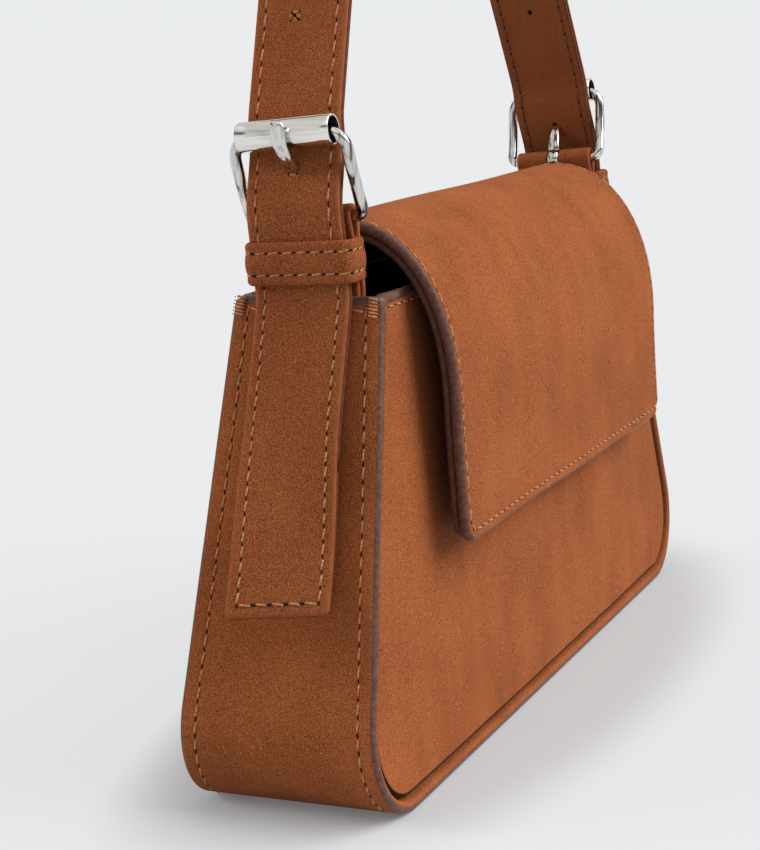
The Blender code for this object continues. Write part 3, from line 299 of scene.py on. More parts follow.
def plain_finish(name, light, deep, size, rough, metallic=0.0, relief=0.0):
    """One finish whose colour and gloss wander between two values over patches of one size."""
    made, tree = new_material(name)
    place = add(tree, "TexCoord", out="Object")
    noise = add(tree, "TexNoise", {"Vector": place, "Scale": 1 / size, "Detail": 2.0})
    patch = add(
        tree, "MapRange", {"Value": noise, "From Min": 0.35, "From Max": 0.65},
        interpolation_type="SMOOTHSTEP",
    )
    shader = add(tree, "BsdfPrincipled", {
        "Base Color": add(tree, "Mix", {0: patch, 6: linear(deep), 7: linear(light)}, 2, data_type="RGBA"),
        "Roughness": add(tree, "MapRange", {"Value": noise, "To Min": rough[0], "To Max": rough[1]}),
        "Metallic": metallic,
        "Normal": add(tree, "Bump", {"Height": noise, "Distance": relief, "Strength": 1.0}),
    })
    add(tree, "OutputMaterial", {"Surface": shader})
    return made


def woven_cloth(name, light, deep):
    """Plain weave: the higher of two waves, along X and Z, of length pi / (10 scale) = 1.9 mm."""
    made, tree = new_material(name)
    place = add(tree, "TexCoord", out="Object")
    waves = {"Vector": place, "Scale": WEAVE_SCALE, "Distortion": 0.4}
    warp, weft = [add(tree, "TexWave", waves, "Fac", bands_direction=way) for way in ("X", "Z")]
    weave = add(tree, "Math", {0: warp, 1: weft}, operation="MAXIMUM")
    shader = add(tree, "BsdfPrincipled", {
        "Base Color": add(tree, "Mix", {0: weave, 6: linear(deep), 7: linear(light)}, 2, data_type="RGBA"),
        "Normal": add(tree, "Bump", {"Height": weave, "Distance": WEAVE_DEPTH, "Strength": 0.7}),
        "Roughness": 0.85,
        "Sheen Weight": 0.1,
    })
    add(tree, "OutputMaterial", {"Surface": shader})
    return made


thread, bobbin_thread = [
    plain_finish(name, light, deep, THREAD_TWIST, (0.5, 0.7), relief=THREAD_RELIEF)
    for name, light, deep in (
        ("polyester_thread_twisted", "EAA672", "B87044"), ("polyester_bobbin_thread", "6B3A24", "55301F"),
    )
]
edge_paint = plain_finish("edge_paint_rubbed", "7C5848", "5C3C30", PAINT_SMEAR, (0.35, 0.50), relief=0.00004)
needle_hole = plain_finish("needle_hole_shadow", "24110A", "120805", HOLE_FUZZ, (0.9, 1.0))
lining_cloth = woven_cloth("black_lining_woven", "1C1B1F", "0C0B0D")
grey_board = plain_finish(
    "grey_board_pressed", "77736C", "5F5B55", BOARD_FIBRE, (0.85, 0.95), relief=0.00005
)
print("finishes", thread.name, edge_paint.name, lining_cloth.name, grey_board.name)

# %% [markdown]
# Die-cast buckles are zinc, polished and chrome plated: mirror bright, with very faint waves.
# Fine dark streaks in their colour are painted reflections of dark surroundings. The tube's
# bore is coloured near black as painted shade. The hidden snap is nickel plated steel, pressed,
# so it is a little softer and warmer.

# %% Metals
PLATING_WAVE, PLATING_RELIEF, BORE_SHADE_PATCH = 0.006, 0.00006, 0.003


def plated(name, line_size, light, deep, dark):
    """Bright plating over cast zinc, with painted reflections: fine dark streaks as long as line_size says
    along each axis.
    """
    made, tree = new_material(name)
    place = add(tree, "TexCoord", out="Object")
    wave = add(tree, "TexNoise", {"Vector": place, "Scale": 1 / PLATING_WAVE})
    streak_space = add(tree, "Mapping", {"Vector": place, "Scale": [1 / size for size in line_size]})
    line = add(tree, "TexNoise", {"Vector": streak_space, "Scale": 1.0, "Detail": 2.0})
    colour = linear(light)
    # Painted reflections: grey and dark streaks stand in for dark surroundings mirrored in the chrome.
    for low, high, tint in ((0.40, 0.62, deep), (0.58, 0.70, dark)):
        share = add(
            tree, "MapRange", {"Value": line, "From Min": low, "From Max": high},
            interpolation_type="SMOOTHSTEP",
        )
        colour = add(tree, "Mix", {0: share, 6: colour, 7: linear(tint)}, 2, data_type="RGBA")
    shader = add(tree, "BsdfPrincipled", {
        "Base Color": colour,
        "Normal": add(tree, "Bump", {"Height": wave, "Distance": PLATING_RELIEF, "Strength": 1.0}),
        "Metallic": 1.0,
        "Roughness": 0.07,
    })
    add(tree, "OutputMaterial", {"Surface": shader})
    return made


frame_chrome = plated("chrome_plated_zinc_wire", (0.0012, 0.0014, 0.012), "DCDAD6", "B8B6B2", "3E3C3D")
roller_chrome = plated("chrome_plated_zinc_tube", (0.0014, 0.020, 0.0014), "EAE8E4", "DAD8D4", "BCBAB6")
# The bore's near black is painted shade inside the tube.
bore_painted_shade = plain_finish("zinc_tube_bore_painted_shade", "2A2826", "161514", BORE_SHADE_PATCH, (0.6, 0.8), 0.6)
nickel = plain_finish(
    "nickel_plated_steel_pressed", "BFBDB6", "ABA8A0", PLATING_WAVE, (0.20, 0.30), 1.0, 0.00002
)
print("finishes ready")

# %% [markdown]
# ## Floor and light
# The bag stands on a plain pale floor that runs to the horizon. A wide soft sun from the
# front right and an even sky light it, so the front is bright and the near end lies in soft
# shade. A weaker sun from behind on the left grazes that end and picks out its edges. A sun has
# no falloff, so the floor keeps one colour out to the horizon.

# %% Lights
SKY_LEVEL = 0.31
SUNS = {
    "soft_key": (2.20, 50, (0.45, -1.50, 1.30)),
    "weak_fill": (1.10, 25, (-0.55, 1.30, 0.75)),
}


def seen_share(tree):
    """1 for a ray from the camera, a mirror or glass, else 0."""
    ray = add(tree, "LightPath").node
    share = ray.outputs["Is Camera Ray"]
    for kind in ("Is Glossy Ray", "Is Transmission Ray"):
        share = add(tree, "Math", {0: share, 1: ray.outputs[kind]}, operation="MAXIMUM")
    return share


for name, (energy, degrees, place) in SUNS.items():
    sun_data = bpy.data.lights.new(name, "SUN")
    sun_data.energy, sun_data.angle = energy, math.radians(degrees)
    sun = bpy.data.objects.new(name, sun_data)
    toward = np.array(place) / np.linalg.norm(place)
    side = np.cross((0.0, 0.0, 1.0), toward)
    side = side / np.linalg.norm(side)
    turn = np.column_stack([side, np.cross(toward, side), toward])
    sun.matrix_world = Matrix(turn.tolist()).to_4x4()
    sun.visible_glossy = name == "soft_key"
    bpy.context.scene.collection.objects.link(sun)
bpy.context.scene.view_settings.view_transform = "Standard"
print("lights", list(SUNS))

# %% [markdown]
# The floor also glows, but only where the camera, a mirror or glass sees it, and less so round
# the bag's footprint. This glow is painted light: it washes out the bag's cast shadow away from
# its foot, so the background is pale, the shadow stays near the bag and the bag gets no more light.

# %% Floor
FLOOR_HALF, FLOOR_SHOWN, FLOOR_GLOW, NEAR_BAG_GLOW = 60.0, 0.80, 0.87, 0.14
FOOTPRINT, GLOW_STARTS, GLOW_WHOLE = (1 / 0.16, 1 / 0.06, 0.0), 0.84, 1.24
paper = plain_finish("floor_paper_matt", "B9BABC", "B7B8BA", 0.5, (0.9, 1.0))
corners = [(-FLOOR_HALF, -FLOOR_HALF, 0), (FLOOR_HALF, -FLOOR_HALF, 0),
           (FLOOR_HALF, FLOOR_HALF, 0), (-FLOOR_HALF, FLOOR_HALF, 0)]
floor_mesh = bpy.data.meshes.new("floor")
floor_mesh.from_pydata(corners, [], [(0, 1, 2, 3)])
floor_mesh.materials.append(paper)
floor = bpy.data.objects.new("floor", floor_mesh)
bpy.context.scene.collection.objects.link(floor)

tree = paper.node_tree
colour_in = tree.nodes["Principled BSDF"].inputs["Base Color"]
seen = seen_share(tree)
pale = {0: seen, 6: colour_in.links[0].from_socket, 7: linear("E4E9EC")}
tree.links.new(add(tree, "Mix", pale, 2, data_type="RGBA"), colour_in)
place = add(tree, "Mapping", {"Vector": add(tree, "TexCoord", out="Object"), "Scale": FOOTPRINT})
away = add(tree, "VectorMath", {0: place}, "Value", operation="LENGTH")
# Painted light: the glow fades in away from the footprint and thins the cast shadow there.
faded = add(
    tree, "MapRange",
    {
        "Value": away, "From Min": GLOW_STARTS, "From Max": GLOW_WHOLE,
        "To Min": NEAR_BAG_GLOW, "To Max": FLOOR_SHOWN,
    },
    interpolation_type="SMOOTHSTEP",
)
faded = add(tree, "Math", {0: seen, 1: faded}, operation="MULTIPLY")
glow = add(tree, "Emission", {"Color": linear("FDFEFF"), "Strength": FLOOR_GLOW})
shown = add(tree, "MixShader", {0: faded, 1: colour_in.node.outputs[0], 2: glow})
tree.links.new(shown, tree.nodes["Material Output"].inputs["Surface"])
print("floor", 2 * FLOOR_HALF, "m wide")

# %% [markdown]
# The sky lights leather evenly. What a mirror sees is another sky: pale and dark panels by
# height, as in a studio, which give the chrome its stripes, and one plain wall at the side that
# keeps the tube calm.

# %% Sky
PLAIN_WALL, WALL_NEAR, WALL_FAR = 0.40, 0.22, 0.32
SKY_PANELS = (
    (0.12, "EAECEE"), (0.26, "D6D7D8"), (0.36, "6E6F72"), (0.46, "58595C"), (0.56, "D2D3D4"),
    (0.70, "FFFFFF"), (1.0, "FFFFFF"),
)
world = bpy.data.worlds.new("studio")
bpy.context.scene.world = world
world.use_nodes = True
sky = world.node_tree
sky.nodes.clear()
way = add(sky, "SeparateXYZ", {0: add(sky, "TexCoord", out="Generated")}).node
panels = add(sky, "ValToRGB", {"Fac": way.outputs["Z"]})
stops = panels.node.color_ramp.elements
stops[0].position, stops[1].position = SKY_PANELS[0][0], SKY_PANELS[-1][0]
for position, _ in SKY_PANELS[1:-1]:
    stops.new(position)
for stop, (_, colour) in zip(stops, SKY_PANELS):
    stop.color = linear(colour)
aside = add(sky, "Math", {0: way.outputs["Y"], 1: PLAIN_WALL}, operation="SUBTRACT")
aside = add(sky, "Math", {0: aside}, operation="ABSOLUTE")
aside = add(
    sky, "MapRange", {"Value": aside, "From Min": WALL_NEAR, "From Max": WALL_FAR},
    interpolation_type="SMOOTHSTEP",
)
mirrored = add(sky, "Mix", {0: aside, 6: linear("DCDBD6"), 7: panels}, 2, data_type="RGBA")
glossy = add(sky, "LightPath", out="Is Glossy Ray")
plain = add(sky, "Mix", {0: glossy, 6: panels, 7: mirrored}, 2, data_type="RGBA")
shown = add(sky, "Background", {"Color": plain, "Strength": 1.0})
lit = add(sky, "Background", {"Color": linear("F4F6FA"), "Strength": SKY_LEVEL})
both = add(sky, "MixShader", {0: seen_share(sky), 1: lit, 2: shown})
add(sky, "OutputWorld", {"Surface": both})
print("sky panels", len(SKY_PANELS))

# %% [markdown]
# ## From arrays to meshes
# Every piece ends in one function that puts arrays of points and faces into a mesh, checks
# with the signed volume that the faces look outwards, and makes them smooth.

# %% Mesh helpers
def unit(vectors):
    """Vectors divided by their length."""
    return vectors / np.maximum(np.linalg.norm(vectors, axis=-1, keepdims=True), 1e-12)


def grid_quads(rows, columns, wrap=False):
    """Corner numbers of a grid's cells: (i, j), (i, j+1), (i+1, j+1), (i+1, j)."""
    i, j = np.meshgrid(
        np.arange(rows - 1), np.arange(columns if wrap else columns - 1), indexing="ij"
    )
    after = (j + 1) % columns
    cells = [i * columns + j, i * columns + after, (i + 1) * columns + after, (i + 1) * columns + j]
    return np.stack(cells, axis=-1).reshape(-1, 4)


def fan(ring, pole, flip=False):
    """Triangles from each step of a ring of point numbers to one pole."""
    step = [np.roll(ring, -1), ring] if flip else [ring, np.roll(ring, -1)]
    return np.column_stack([*step, np.full(len(ring), pole)])


def capped(rings):
    """Two fans that close a tube of (rings, sides) points whose two poles come after them."""
    count, sides = rings
    first, size = np.arange(sides), count * sides
    return np.concatenate([fan(first, size, flip=True), fan(first + size - sides, size + 1)])


def bulged_disc(sides):
    """Two fans that close a ring of points, whose two poles come after it, to a flat lens."""
    ring = np.arange(sides)
    return np.concatenate([fan(ring, sides), fan(ring, sides + 1, flip=True)])


def repeated(faces, count, size, base=0):
    """The same faces for count shapes of size points each, numbered on from base."""
    shift = (np.arange(count) * size)[:, None, None] + base
    return (faces[None] + shift).reshape(-1, faces.shape[1])


def turns(count):
    """Equal turns once round a circle."""
    return np.arange(count) / count * math.tau


def signed_volume(points, quads, triangles):
    """Sum of p0 . (p1 x p2) / 6 over all triangles; negative when faces look inwards."""
    split = np.concatenate([quads[:, [0, 1, 2]], quads[:, [0, 2, 3]], triangles])
    a, b, c = (points[split[:, k]] for k in range(3))
    return float(np.einsum("ij,ij->i", a, np.cross(b, c)).sum() / 6)


def make_piece(name, points, quads, materials, triangles=None, kinds=None, **marks):
    """A smooth mesh object at the origin; marks are named values of its points."""
    triangles = np.zeros((0, 3), int) if triangles is None else np.asarray(triangles, int)
    if signed_volume(points, quads, triangles) < 0:
        quads, triangles = quads[:, ::-1], triangles[:, ::-1]
    mesh = bpy.data.meshes.new(name)
    mesh.from_pydata(points.tolist(), [], quads.tolist() + triangles.tolist())
    for finish in materials:
        mesh.materials.append(finish)
    if kinds is not None:
        mesh.polygons.foreach_set("material_index", np.asarray(kinds, np.int32))
    for mark, values in marks.items():
        layer = mesh.attributes.new(mark, "FLOAT", "POINT")
        layer.data.foreach_set("value", np.asarray(values, np.float32))
    mesh.shade_smooth()
    made = bpy.data.objects.new(name, mesh)
    bpy.context.scene.collection.objects.link(made)
    print(name, len(points), "points")
    return made


# %% [markdown]
# ## Spacing, wander and lean
# Grids are close together near the edges, where leather turns round. The large leather surfaces
# wander a little, and what the buckles carry leans back, as in the photograph.

# %% Shaping helpers
def crowded(low, high, fine, coarse, reach):
    """Places from low to high, close together near both ends and wider in the middle."""
    edge = np.arange(0.0, reach, fine)
    count = max(int(round((high - low - 2 * reach) / coarse)), 2)
    middle = np.linspace(low + reach, high - reach, count + 1)
    return np.concatenate([low + edge, middle, (high - edge)[::-1]])


def ripple(a, b, wave, seed):
    """Soft wander between about -1 and 1: 1.6 times the mean of six plane waves.

    Each has its own random way, phase and length, from 0.7 to 1.4 times as many turns per wave.
    """
    draw = np.random.default_rng(seed)
    way = draw.uniform(0, math.tau, 6)
    phase = draw.uniform(0, math.tau, 6)
    pull = draw.uniform(0.7, 1.4, 6) * math.tau / wave
    a, b = np.asarray(a)[..., None], np.asarray(b)[..., None]
    return np.cos(pull * (a * np.cos(way) + b * np.sin(way)) + phase).mean(-1) * 1.6


def smooth_step(share):
    """Eases from 0 to 1: t * t * (3 - 2 t)."""
    share = np.clip(share, 0.0, 1.0)
    return share * share * (3 - 2 * share)


def leaned(points, share=1.0):
    """Points turned back about the body's top edge by angle a = share * lean.

    With h the height over that edge: y becomes y cos a + h sin a, h becomes h cos a - y sin a.
    """
    points = np.asarray(points, float)
    angle = STRAP_BACK_LEAN * share
    y, rise = points[..., 1], points[..., 2] - BODY_HEIGHT
    return np.stack([
        points[..., 0],
        y * np.cos(angle) + rise * np.sin(angle),
        BODY_HEIGHT + rise * np.cos(angle) - y * np.sin(angle),
    ], axis=-1)


def eased_lean(points):
    """Leather that is upright on the body and has its whole lean from the keeper's foot up."""
    height = np.asarray(points, float)[..., 2]
    return leaned(points, smooth_step((height - LEAN_START) / (KEEPER_FOOT - LEAN_START)))


print("a quarter of the way, eased:", float(smooth_step(0.25)))

# %% [markdown]
# ## A sheet of leather
# Real leather has a thickness, and its cut edge is sanded round. A sheet here is a grid of
# points on the seen face. The back is the same grid moved in by the thickness, and between
# the two borders runs a half round: at turn a the edge stands out by dome * sin(a) and lies
# deep by thickness * (1 - cos(a)) / 2. That closes the sheet and gives the painted edge.

# %% Leather sheet
EDGE_RINGS = 8


def border_loop(rows, columns):
    """Row and column numbers once round a grid, with the side that each belongs to."""
    i = np.concatenate([
        np.zeros(columns - 1, int),
        np.arange(rows - 1),
        np.full(columns - 1, rows - 1),
        np.arange(rows - 1, 0, -1),
    ])
    j = np.concatenate([
        np.arange(columns - 1),
        np.full(rows - 1, columns - 1),
        np.arange(columns - 1, 0, -1),
        np.zeros(rows - 1, int),
    ])
    sides = np.repeat(["first", "right", "last", "left"], [columns - 1, rows - 1] * 2)
    return i, j, sides


def leather_sheet(
    name, face, thickness, dome, materials, painted=(), span=(0.0, 1.0), back_kind=0, dark=None
):
    """Closes a grid of face points into a sheet with half round edges.

    The face looks along (step over columns) x (step over rows). Edge rings whose share of the
    half turn lies within span carry paint on the named sides. Rings whose share is beyond
    dark carry painted shade, the dark of a seam or of a gap between layers, on the sides that dark names.
    """
    rows, columns = face.shape[:2]
    normal = unit(np.cross(np.gradient(face, axis=1), np.gradient(face, axis=0)))
    depth = np.broadcast_to(np.asarray(thickness, float), (rows, columns))
    rear = face - normal * depth[..., None]
    i, j, sides = border_loop(rows, columns)
    border, out_of_face = face[i, j], normal[i, j]
    along = unit(np.roll(border, -1, axis=0) - np.roll(border, 1, axis=0))
    outward = unit(np.cross(along, out_of_face))
    share = np.linspace(0.0, 1.0, EDGE_RINGS + 1)[1:-1]
    rise = np.sin(math.pi * share)[:, None, None] * dome
    fall = ((1 - np.cos(math.pi * share)) / 2)[:, None] * depth[i, j]
    rings = border + rise * outward - fall[..., None] * out_of_face
    count = rows * columns
    points = np.concatenate([face.reshape(-1, 3), rear.reshape(-1, 3), rings.reshape(-1, 3)])
    front = grid_quads(rows, columns)
    loop = i * columns + j
    ring_numbers = np.concatenate([
        loop[None],
        2 * count + np.arange(len(share) * len(loop)).reshape(len(share), -1),
        loop[None] + count,
    ])
    ahead = np.roll(ring_numbers, -1, axis=1)
    edge = np.stack([ring_numbers[:-1], ring_numbers[1:], ahead[1:], ahead[:-1]], axis=-1)
    quads = np.concatenate([front, front[:, ::-1] + count, edge.reshape(-1, 4)])
    kinds = np.zeros(len(quads), int)
    kinds[len(front):2 * len(front)] = back_kind
    wet = np.isin(sides, painted)[None, :] & ((share >= span[0]) & (share <= span[1]))[:, None]
    paint = np.concatenate([np.zeros(2 * count), wet.reshape(-1).astype(float)])
    # Rings marked here are coloured near black as painted shade for the seam.
    beyond, shaded_sides = (2.0, ()) if dark is None else dark
    seam_shade = np.isin(sides, shaded_sides)[None, :] & (share > beyond)[:, None]
    seam_shade = np.concatenate([np.zeros(2 * count), seam_shade.reshape(-1).astype(float)])
    return make_piece(name, points, quads, materials, kinds=kinds, edge_paint=paint, crevice=seam_shade)


# %% [markdown]
# ## The body's outline
# Seen from the front the body is a trapezoid with big round bottom corners. One strip, the
# gusset, follows that U: down one end, along the underside and up the other end. So the U is
# worked out once, as points, outward directions and distance along it.

# %% Outline
def half_depth(height):
    """Half the body's depth at a height: it narrows evenly from foot to top."""
    share = np.asarray(height, float) / BODY_HEIGHT
    return (BODY_FOOT_DEPTH + (BODY_TOP_DEPTH - BODY_FOOT_DEPTH) * share) / 2


def half_outline(top_half, foot_half, top, foot, radius, counts=(90, 40, 90)):
    """Left half of the U: straight leaning end, arc of the corner, straight underside."""
    run, rise = foot_half - top_half, top - foot
    inward = np.array([rise, -run]) / math.hypot(run, rise)
    centre_z = foot + radius
    centre_x = -top_half + (radius - inward[1] * (centre_z - top)) / inward[0]
    centre = np.array([centre_x, centre_z])
    start, tangent = np.array([-top_half, top]), centre - inward * radius
    begin = math.atan2(-inward[1], -inward[0]) % math.tau
    turn = np.linspace(begin, 1.5 * math.pi, counts[1])[:, None]
    outward = np.hstack([np.cos(turn), np.sin(turn)])
    line = start + (tangent - start) * np.linspace(0, 1, counts[0])[:-1, None]
    floor_x = np.linspace(centre_x, 0.0, counts[2])[1:]
    points = np.concatenate([
        line, centre + radius * outward, np.column_stack([floor_x, np.full(len(floor_x), foot)])
    ])
    normals = np.concatenate([
        np.tile(-inward, (len(line), 1)), outward, np.tile([0.0, -1.0], (len(floor_x), 1))
    ])
    return points, normals


def run_lengths(points):
    """Distance along a line of points."""
    return np.concatenate([[0.0], np.cumsum(np.linalg.norm(np.diff(points, axis=0), axis=1))])


def take(run, values, stations):
    """Values at stations along a run, each column interpolated."""
    stations = np.asarray(stations, float)
    flat = [np.interp(stations, run, values[:, k]) for k in range(values.shape[1])]
    return np.stack(flat, axis=-1)


left_points, left_normals = half_outline(
    BODY_TOP_HALF, BODY_FOOT_HALF, BODY_HEIGHT, 0.0, BODY_CORNER_RADIUS
)
MIRROR = np.array([-1.0, 1.0])
U_POINTS = np.concatenate([left_points, left_points[::-1][1:] * MIRROR])
U_NORMALS = np.concatenate([left_normals, left_normals[::-1][1:] * MIRROR])
U_RUN = run_lengths(U_POINTS)
U_LENGTH = float(U_RUN[-1])
print("gusset strip is", round(U_LENGTH, 4), "m long")

# %% [markdown]
# ## Gusset
# The strip's raw edges face forwards and back as rims, painted on their outer part only. Its
# ends sag inwards a little between the seams, and the surface wanders by a few tenths of a
# millimetre, as leather does over an empty space.

# %% Gusset
GUSSET_DOME, GUSSET_SAG, GUSSET_WANDER = 0.0011, 0.0011, 0.00035
SEAM_INSET, TOP_SEAM_DROP, PANEL_SEAM_DROP = 0.0043, 0.0030, 0.0028
GROOVE_DEPTH, GROOVE_WIDTH = 0.00016, 0.0006
GUSSET_WAVE, SAG_FOOT, SAG_FOOT_EASE, SAG_TOP, SAG_TOP_EASE = 0.045, 0.004, 0.03, 0.125, 0.05
GUSSET_ROWS, GUSSET_COLUMNS = (0.0005, 0.0022, 0.005), (0.020, 0.06, 0.30)


def groove(distance):
    """A stitch row pulls the leather in: a bell curve of depth over distance from the row."""
    return GROOVE_DEPTH * np.exp(-(distance / GROOVE_WIDTH) ** 2)


def gusset_surface(s, y):
    """Outer face: the U at distance s, moved in by sag * (1 - (y / half)^2), wander and groove."""
    point, outward = take(U_RUN, U_POINTS, s), take(U_RUN, U_NORMALS, s)
    half = half_depth(point[..., 1])
    share = np.clip(np.abs(y) / half, 0, 1)
    on_end = smooth_step((point[..., 1] - SAG_FOOT) / SAG_FOOT_EASE)
    on_end = on_end * smooth_step((SAG_TOP - point[..., 1]) / SAG_TOP_EASE)
    wander = GUSSET_WANDER * ripple(s, y, GUSSET_WAVE, 3)
    slack = (1 - share ** 2) * on_end * (GUSSET_SAG + wander)
    slack = slack + groove(np.abs(y) - (half - SEAM_INSET))
    return np.stack(
        [point[..., 0] - outward[..., 0] * slack, y + 0 * s, point[..., 1] - outward[..., 1] * slack],
        axis=-1,
    )


gusset_s = crowded(GUSSET_DOME, U_LENGTH - GUSSET_DOME, *GUSSET_ROWS)
gusset_half = half_depth(take(U_RUN, U_POINTS, gusset_s)[:, 1]) - GUSSET_DOME
gusset_share = crowded(-1.0, 1.0, *GUSSET_COLUMNS)
gusset_y = gusset_half[:, None] * gusset_share[None]
gusset = leather_sheet(
    "gusset_leather",
    gusset_surface(np.broadcast_to(gusset_s[:, None], gusset_y.shape), gusset_y),
    GUSSET_THICKNESS,
    GUSSET_DOME,
    [tan_nubuck],
    painted=("first", "last", "left", "right"),
    span=(0.08, 0.62),
)
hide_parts("gusset_strip")
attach(gusset, "bag")

# %% [markdown]
# ## Front and back panels
# Each panel is filled out from inside and is fullest low down. Its sides and bottom are turned
# over a cord of leather, so they roll down into the seam beside the rim. Its top edge is cut and
# painted. The grid's rows follow the outline down to the round corners.

# %% Panels
PANEL_DOME, PANEL_WANDER, PANEL_WAVE, PANEL_TURN_SHARE = 0.0016, 0.00040, 0.055, 0.05
PANEL_ROWS, PANEL_COLUMNS = (0.0006, 0.0020, 0.0050), (0.004, 0.018, 0.04)
PANEL_INSET = GUSSET_THICKNESS + 2 * GAP + PANEL_DOME


def panel_edge_y(height):
    """Distance of a panel's face from the middle plane at its seam."""
    return half_depth(height) - RIM_PROUD


def panel_half(height, inset):
    """Half length of the panel at a height, inside the U by an inset."""
    line = left_points - left_normals * inset
    return -np.interp(height, line[::-1, 1], line[::-1, 0])


def panel_face(x, z, facing):
    """Face: seam plane plus a crown (1 - |x/w|^3.5)(1 - |v|^k), k 2 above and 3 below middle."""
    middle = BODY_HEIGHT / 2
    v = np.abs(z - middle) / middle
    wide = panel_half(z, GUSSET_THICKNESS)
    lift = (1 - np.clip(np.abs(x) / wide, 0, 1) ** 3.5) * (1 - v ** np.where(z < middle, 3.0, 2.0))
    wander = PANEL_WANDER * lift * ripple(x, z, PANEL_WAVE, 11 + facing)
    drop = groove(BODY_HEIGHT - PANEL_SEAM_DROP - z)
    y = facing * (panel_edge_y(z) + PANEL_CROWN * lift + wander - drop)
    return np.stack([x + 0 * z, y, z + 0 * x], axis=-1)


def make_panel(name, facing):
    """One panel: rows by height down the straight ends, then closer round the corners."""
    line = left_points - left_normals * PANEL_INSET
    corner = np.abs(left_normals[:, 0]) < np.abs(left_normals[0, 0]) - 1e-6
    turning = line[corner & (left_normals[:, 1] > -1 + 1e-9)]
    top = BODY_HEIGHT - PANEL_THICKNESS / 2
    straight = crowded(turning[0, 1], top, *PANEL_ROWS)[::-1]
    heights = np.concatenate([straight[:-1], turning[::2, 1]])
    halves = -np.interp(heights, line[::-1, 1], line[::-1, 0])
    halves[-1] = -turning[-1, 0]
    shares = crowded(-1.0, 1.0, *PANEL_COLUMNS)
    x = halves[:, None] * (shares if facing > 0 else shares[::-1])[None]
    z = np.broadcast_to(heights[:, None], x.shape)
    face = panel_face(x, z, facing)
    seam = np.minimum(1 - np.abs(shares)[None] + 0 * x, (z - z.min()) / BODY_HEIGHT)
    eased = smooth_step(seam / PANEL_TURN_SHARE)
    thick = PANEL_TURN_DEPTH + (PANEL_THICKNESS - PANEL_TURN_DEPTH) * eased
    return leather_sheet(
        name, face, thick, PANEL_DOME, [tan_nubuck], painted=("first",),
        # The turned edges carry painted shade: the dark seam beside the gusset's rim.
        dark=(0.10, ("left", "right", "last")),
    )


for label, facing in (("front", -1), ("back", 1)):
    panel = make_panel(f"{label}_panel_leather", facing)
    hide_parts(f"{label}_panel")
    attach(panel, "bag")

# %% [markdown]
# ## Rods
# Wires and beads are an oval section carried along a line: each ring is
# centre + r (cos a * side + sin a * other). A curve object with a bevel would do for round
# wire, but it only scales its section, and a bead or a prong widens without growing thicker.

# %% Rods
def rod(name, path, radius_side, radius_other, reference, finish, cyclic=False, sides=24):
    """A closed rod with an oval section; side is direction x reference, and radii may change."""
    if cyclic:
        along = unit(np.roll(path, -1, axis=0) - np.roll(path, 1, axis=0))
    else:
        along = unit(np.gradient(path, axis=0))
    side = unit(np.cross(along, reference))
    other = np.cross(side, along)
    turn, count = turns(sides), len(path)
    wide = np.broadcast_to(radius_side, (count,))[:, None, None]
    deep = np.broadcast_to(radius_other, (count,))[:, None, None]
    ring = (
        path[:, None]
        + wide * np.cos(turn)[None, :, None] * side[:, None]
        + deep * np.sin(turn)[None, :, None] * other[:, None]
    )
    if cyclic:
        quads = grid_quads(count + 1, sides, wrap=True) % (count * sides)
        return make_piece(name, ring.reshape(-1, 3), quads, [finish])
    points = np.concatenate([ring.reshape(-1, 3), path[[0, -1]]])
    quads = grid_quads(count, sides, wrap=True)
    return make_piece(name, points, quads, [finish], capped(ring.shape[:2]))


# %% [markdown]
# ## Painted bead
# The top edges of ends and panels are painted so thickly that one dark bead runs round the
# whole opening. It is an oval rod: wide over the thick ends, narrower over the panels.

# %% Top bead
BEAD_HEIGHT, BEAD_TALL, BEAD_CORNER = BODY_HEIGHT - 0.0012, 0.00165, 0.0020
BEAD_END_WIDE, BEAD_PANEL_WIDE, BEAD_WIDENS_AT, BEAD_WIDENS_OVER = 0.00200, 0.00110, 0.006, 0.004


def rounded_loop(half_x, half_y, radius, count=24):
    """Points once round a rectangle with round corners, from the +X side on."""
    turn = (np.arange(4 * count) + 0.5) / (4 * count) * math.tau
    quarter = np.arange(4 * count) // count
    centre_x = (half_x - radius) * np.where(np.isin(quarter, (0, 3)), 1, -1)
    centre_y = (half_y - radius) * np.where(quarter < 2, 1, -1)
    return np.stack([centre_x + radius * np.cos(turn), centre_y + radius * np.sin(turn)], axis=-1)


def round_loop(loop, shares):
    """Points at shares of the way once round a closed loop."""
    closed = np.vstack([loop, loop[:1]])
    run = run_lengths(closed)
    return take(run, closed, shares * run[-1])


opening = rounded_loop(
    BODY_TOP_HALF - GUSSET_THICKNESS / 2,
    float(panel_edge_y(BODY_HEIGHT)) - PANEL_THICKNESS / 2,
    BEAD_CORNER,
    12,
)
loop = round_loop(opening, np.linspace(0, 1, 901)[:-1])
on_end = smooth_step((np.abs(loop[:, 0]) - (BODY_TOP_HALF - BEAD_WIDENS_AT)) / BEAD_WIDENS_OVER)
bead = rod(
    "top_edge_paint_bead",
    np.column_stack([loop, np.full(len(loop), BEAD_HEIGHT)]),
    BEAD_PANEL_WIDE + (BEAD_END_WIDE - BEAD_PANEL_WIDE) * on_end,
    BEAD_TALL,
    np.array([0.0, 0.0, 1.0]),
    edge_paint,
    cyclic=True,
    sides=16,
)
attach(bead, "bag")

# %% [markdown]
# ## Lining and board
# A black cloth cup hangs inside. Seen through the flap's open end it is only a dark hollow,
# but it has its own soft folds. The stiff board under it is hidden, so its CAD solid stays.

# %% Lining
LINING_FOLD, FOLD_WAVE_X, FOLD_WAVE_Y = 0.0005, 0.006, 0.010
FOLD_EASE, FOLD_FREE_FLOOR = 0.03, 0.002


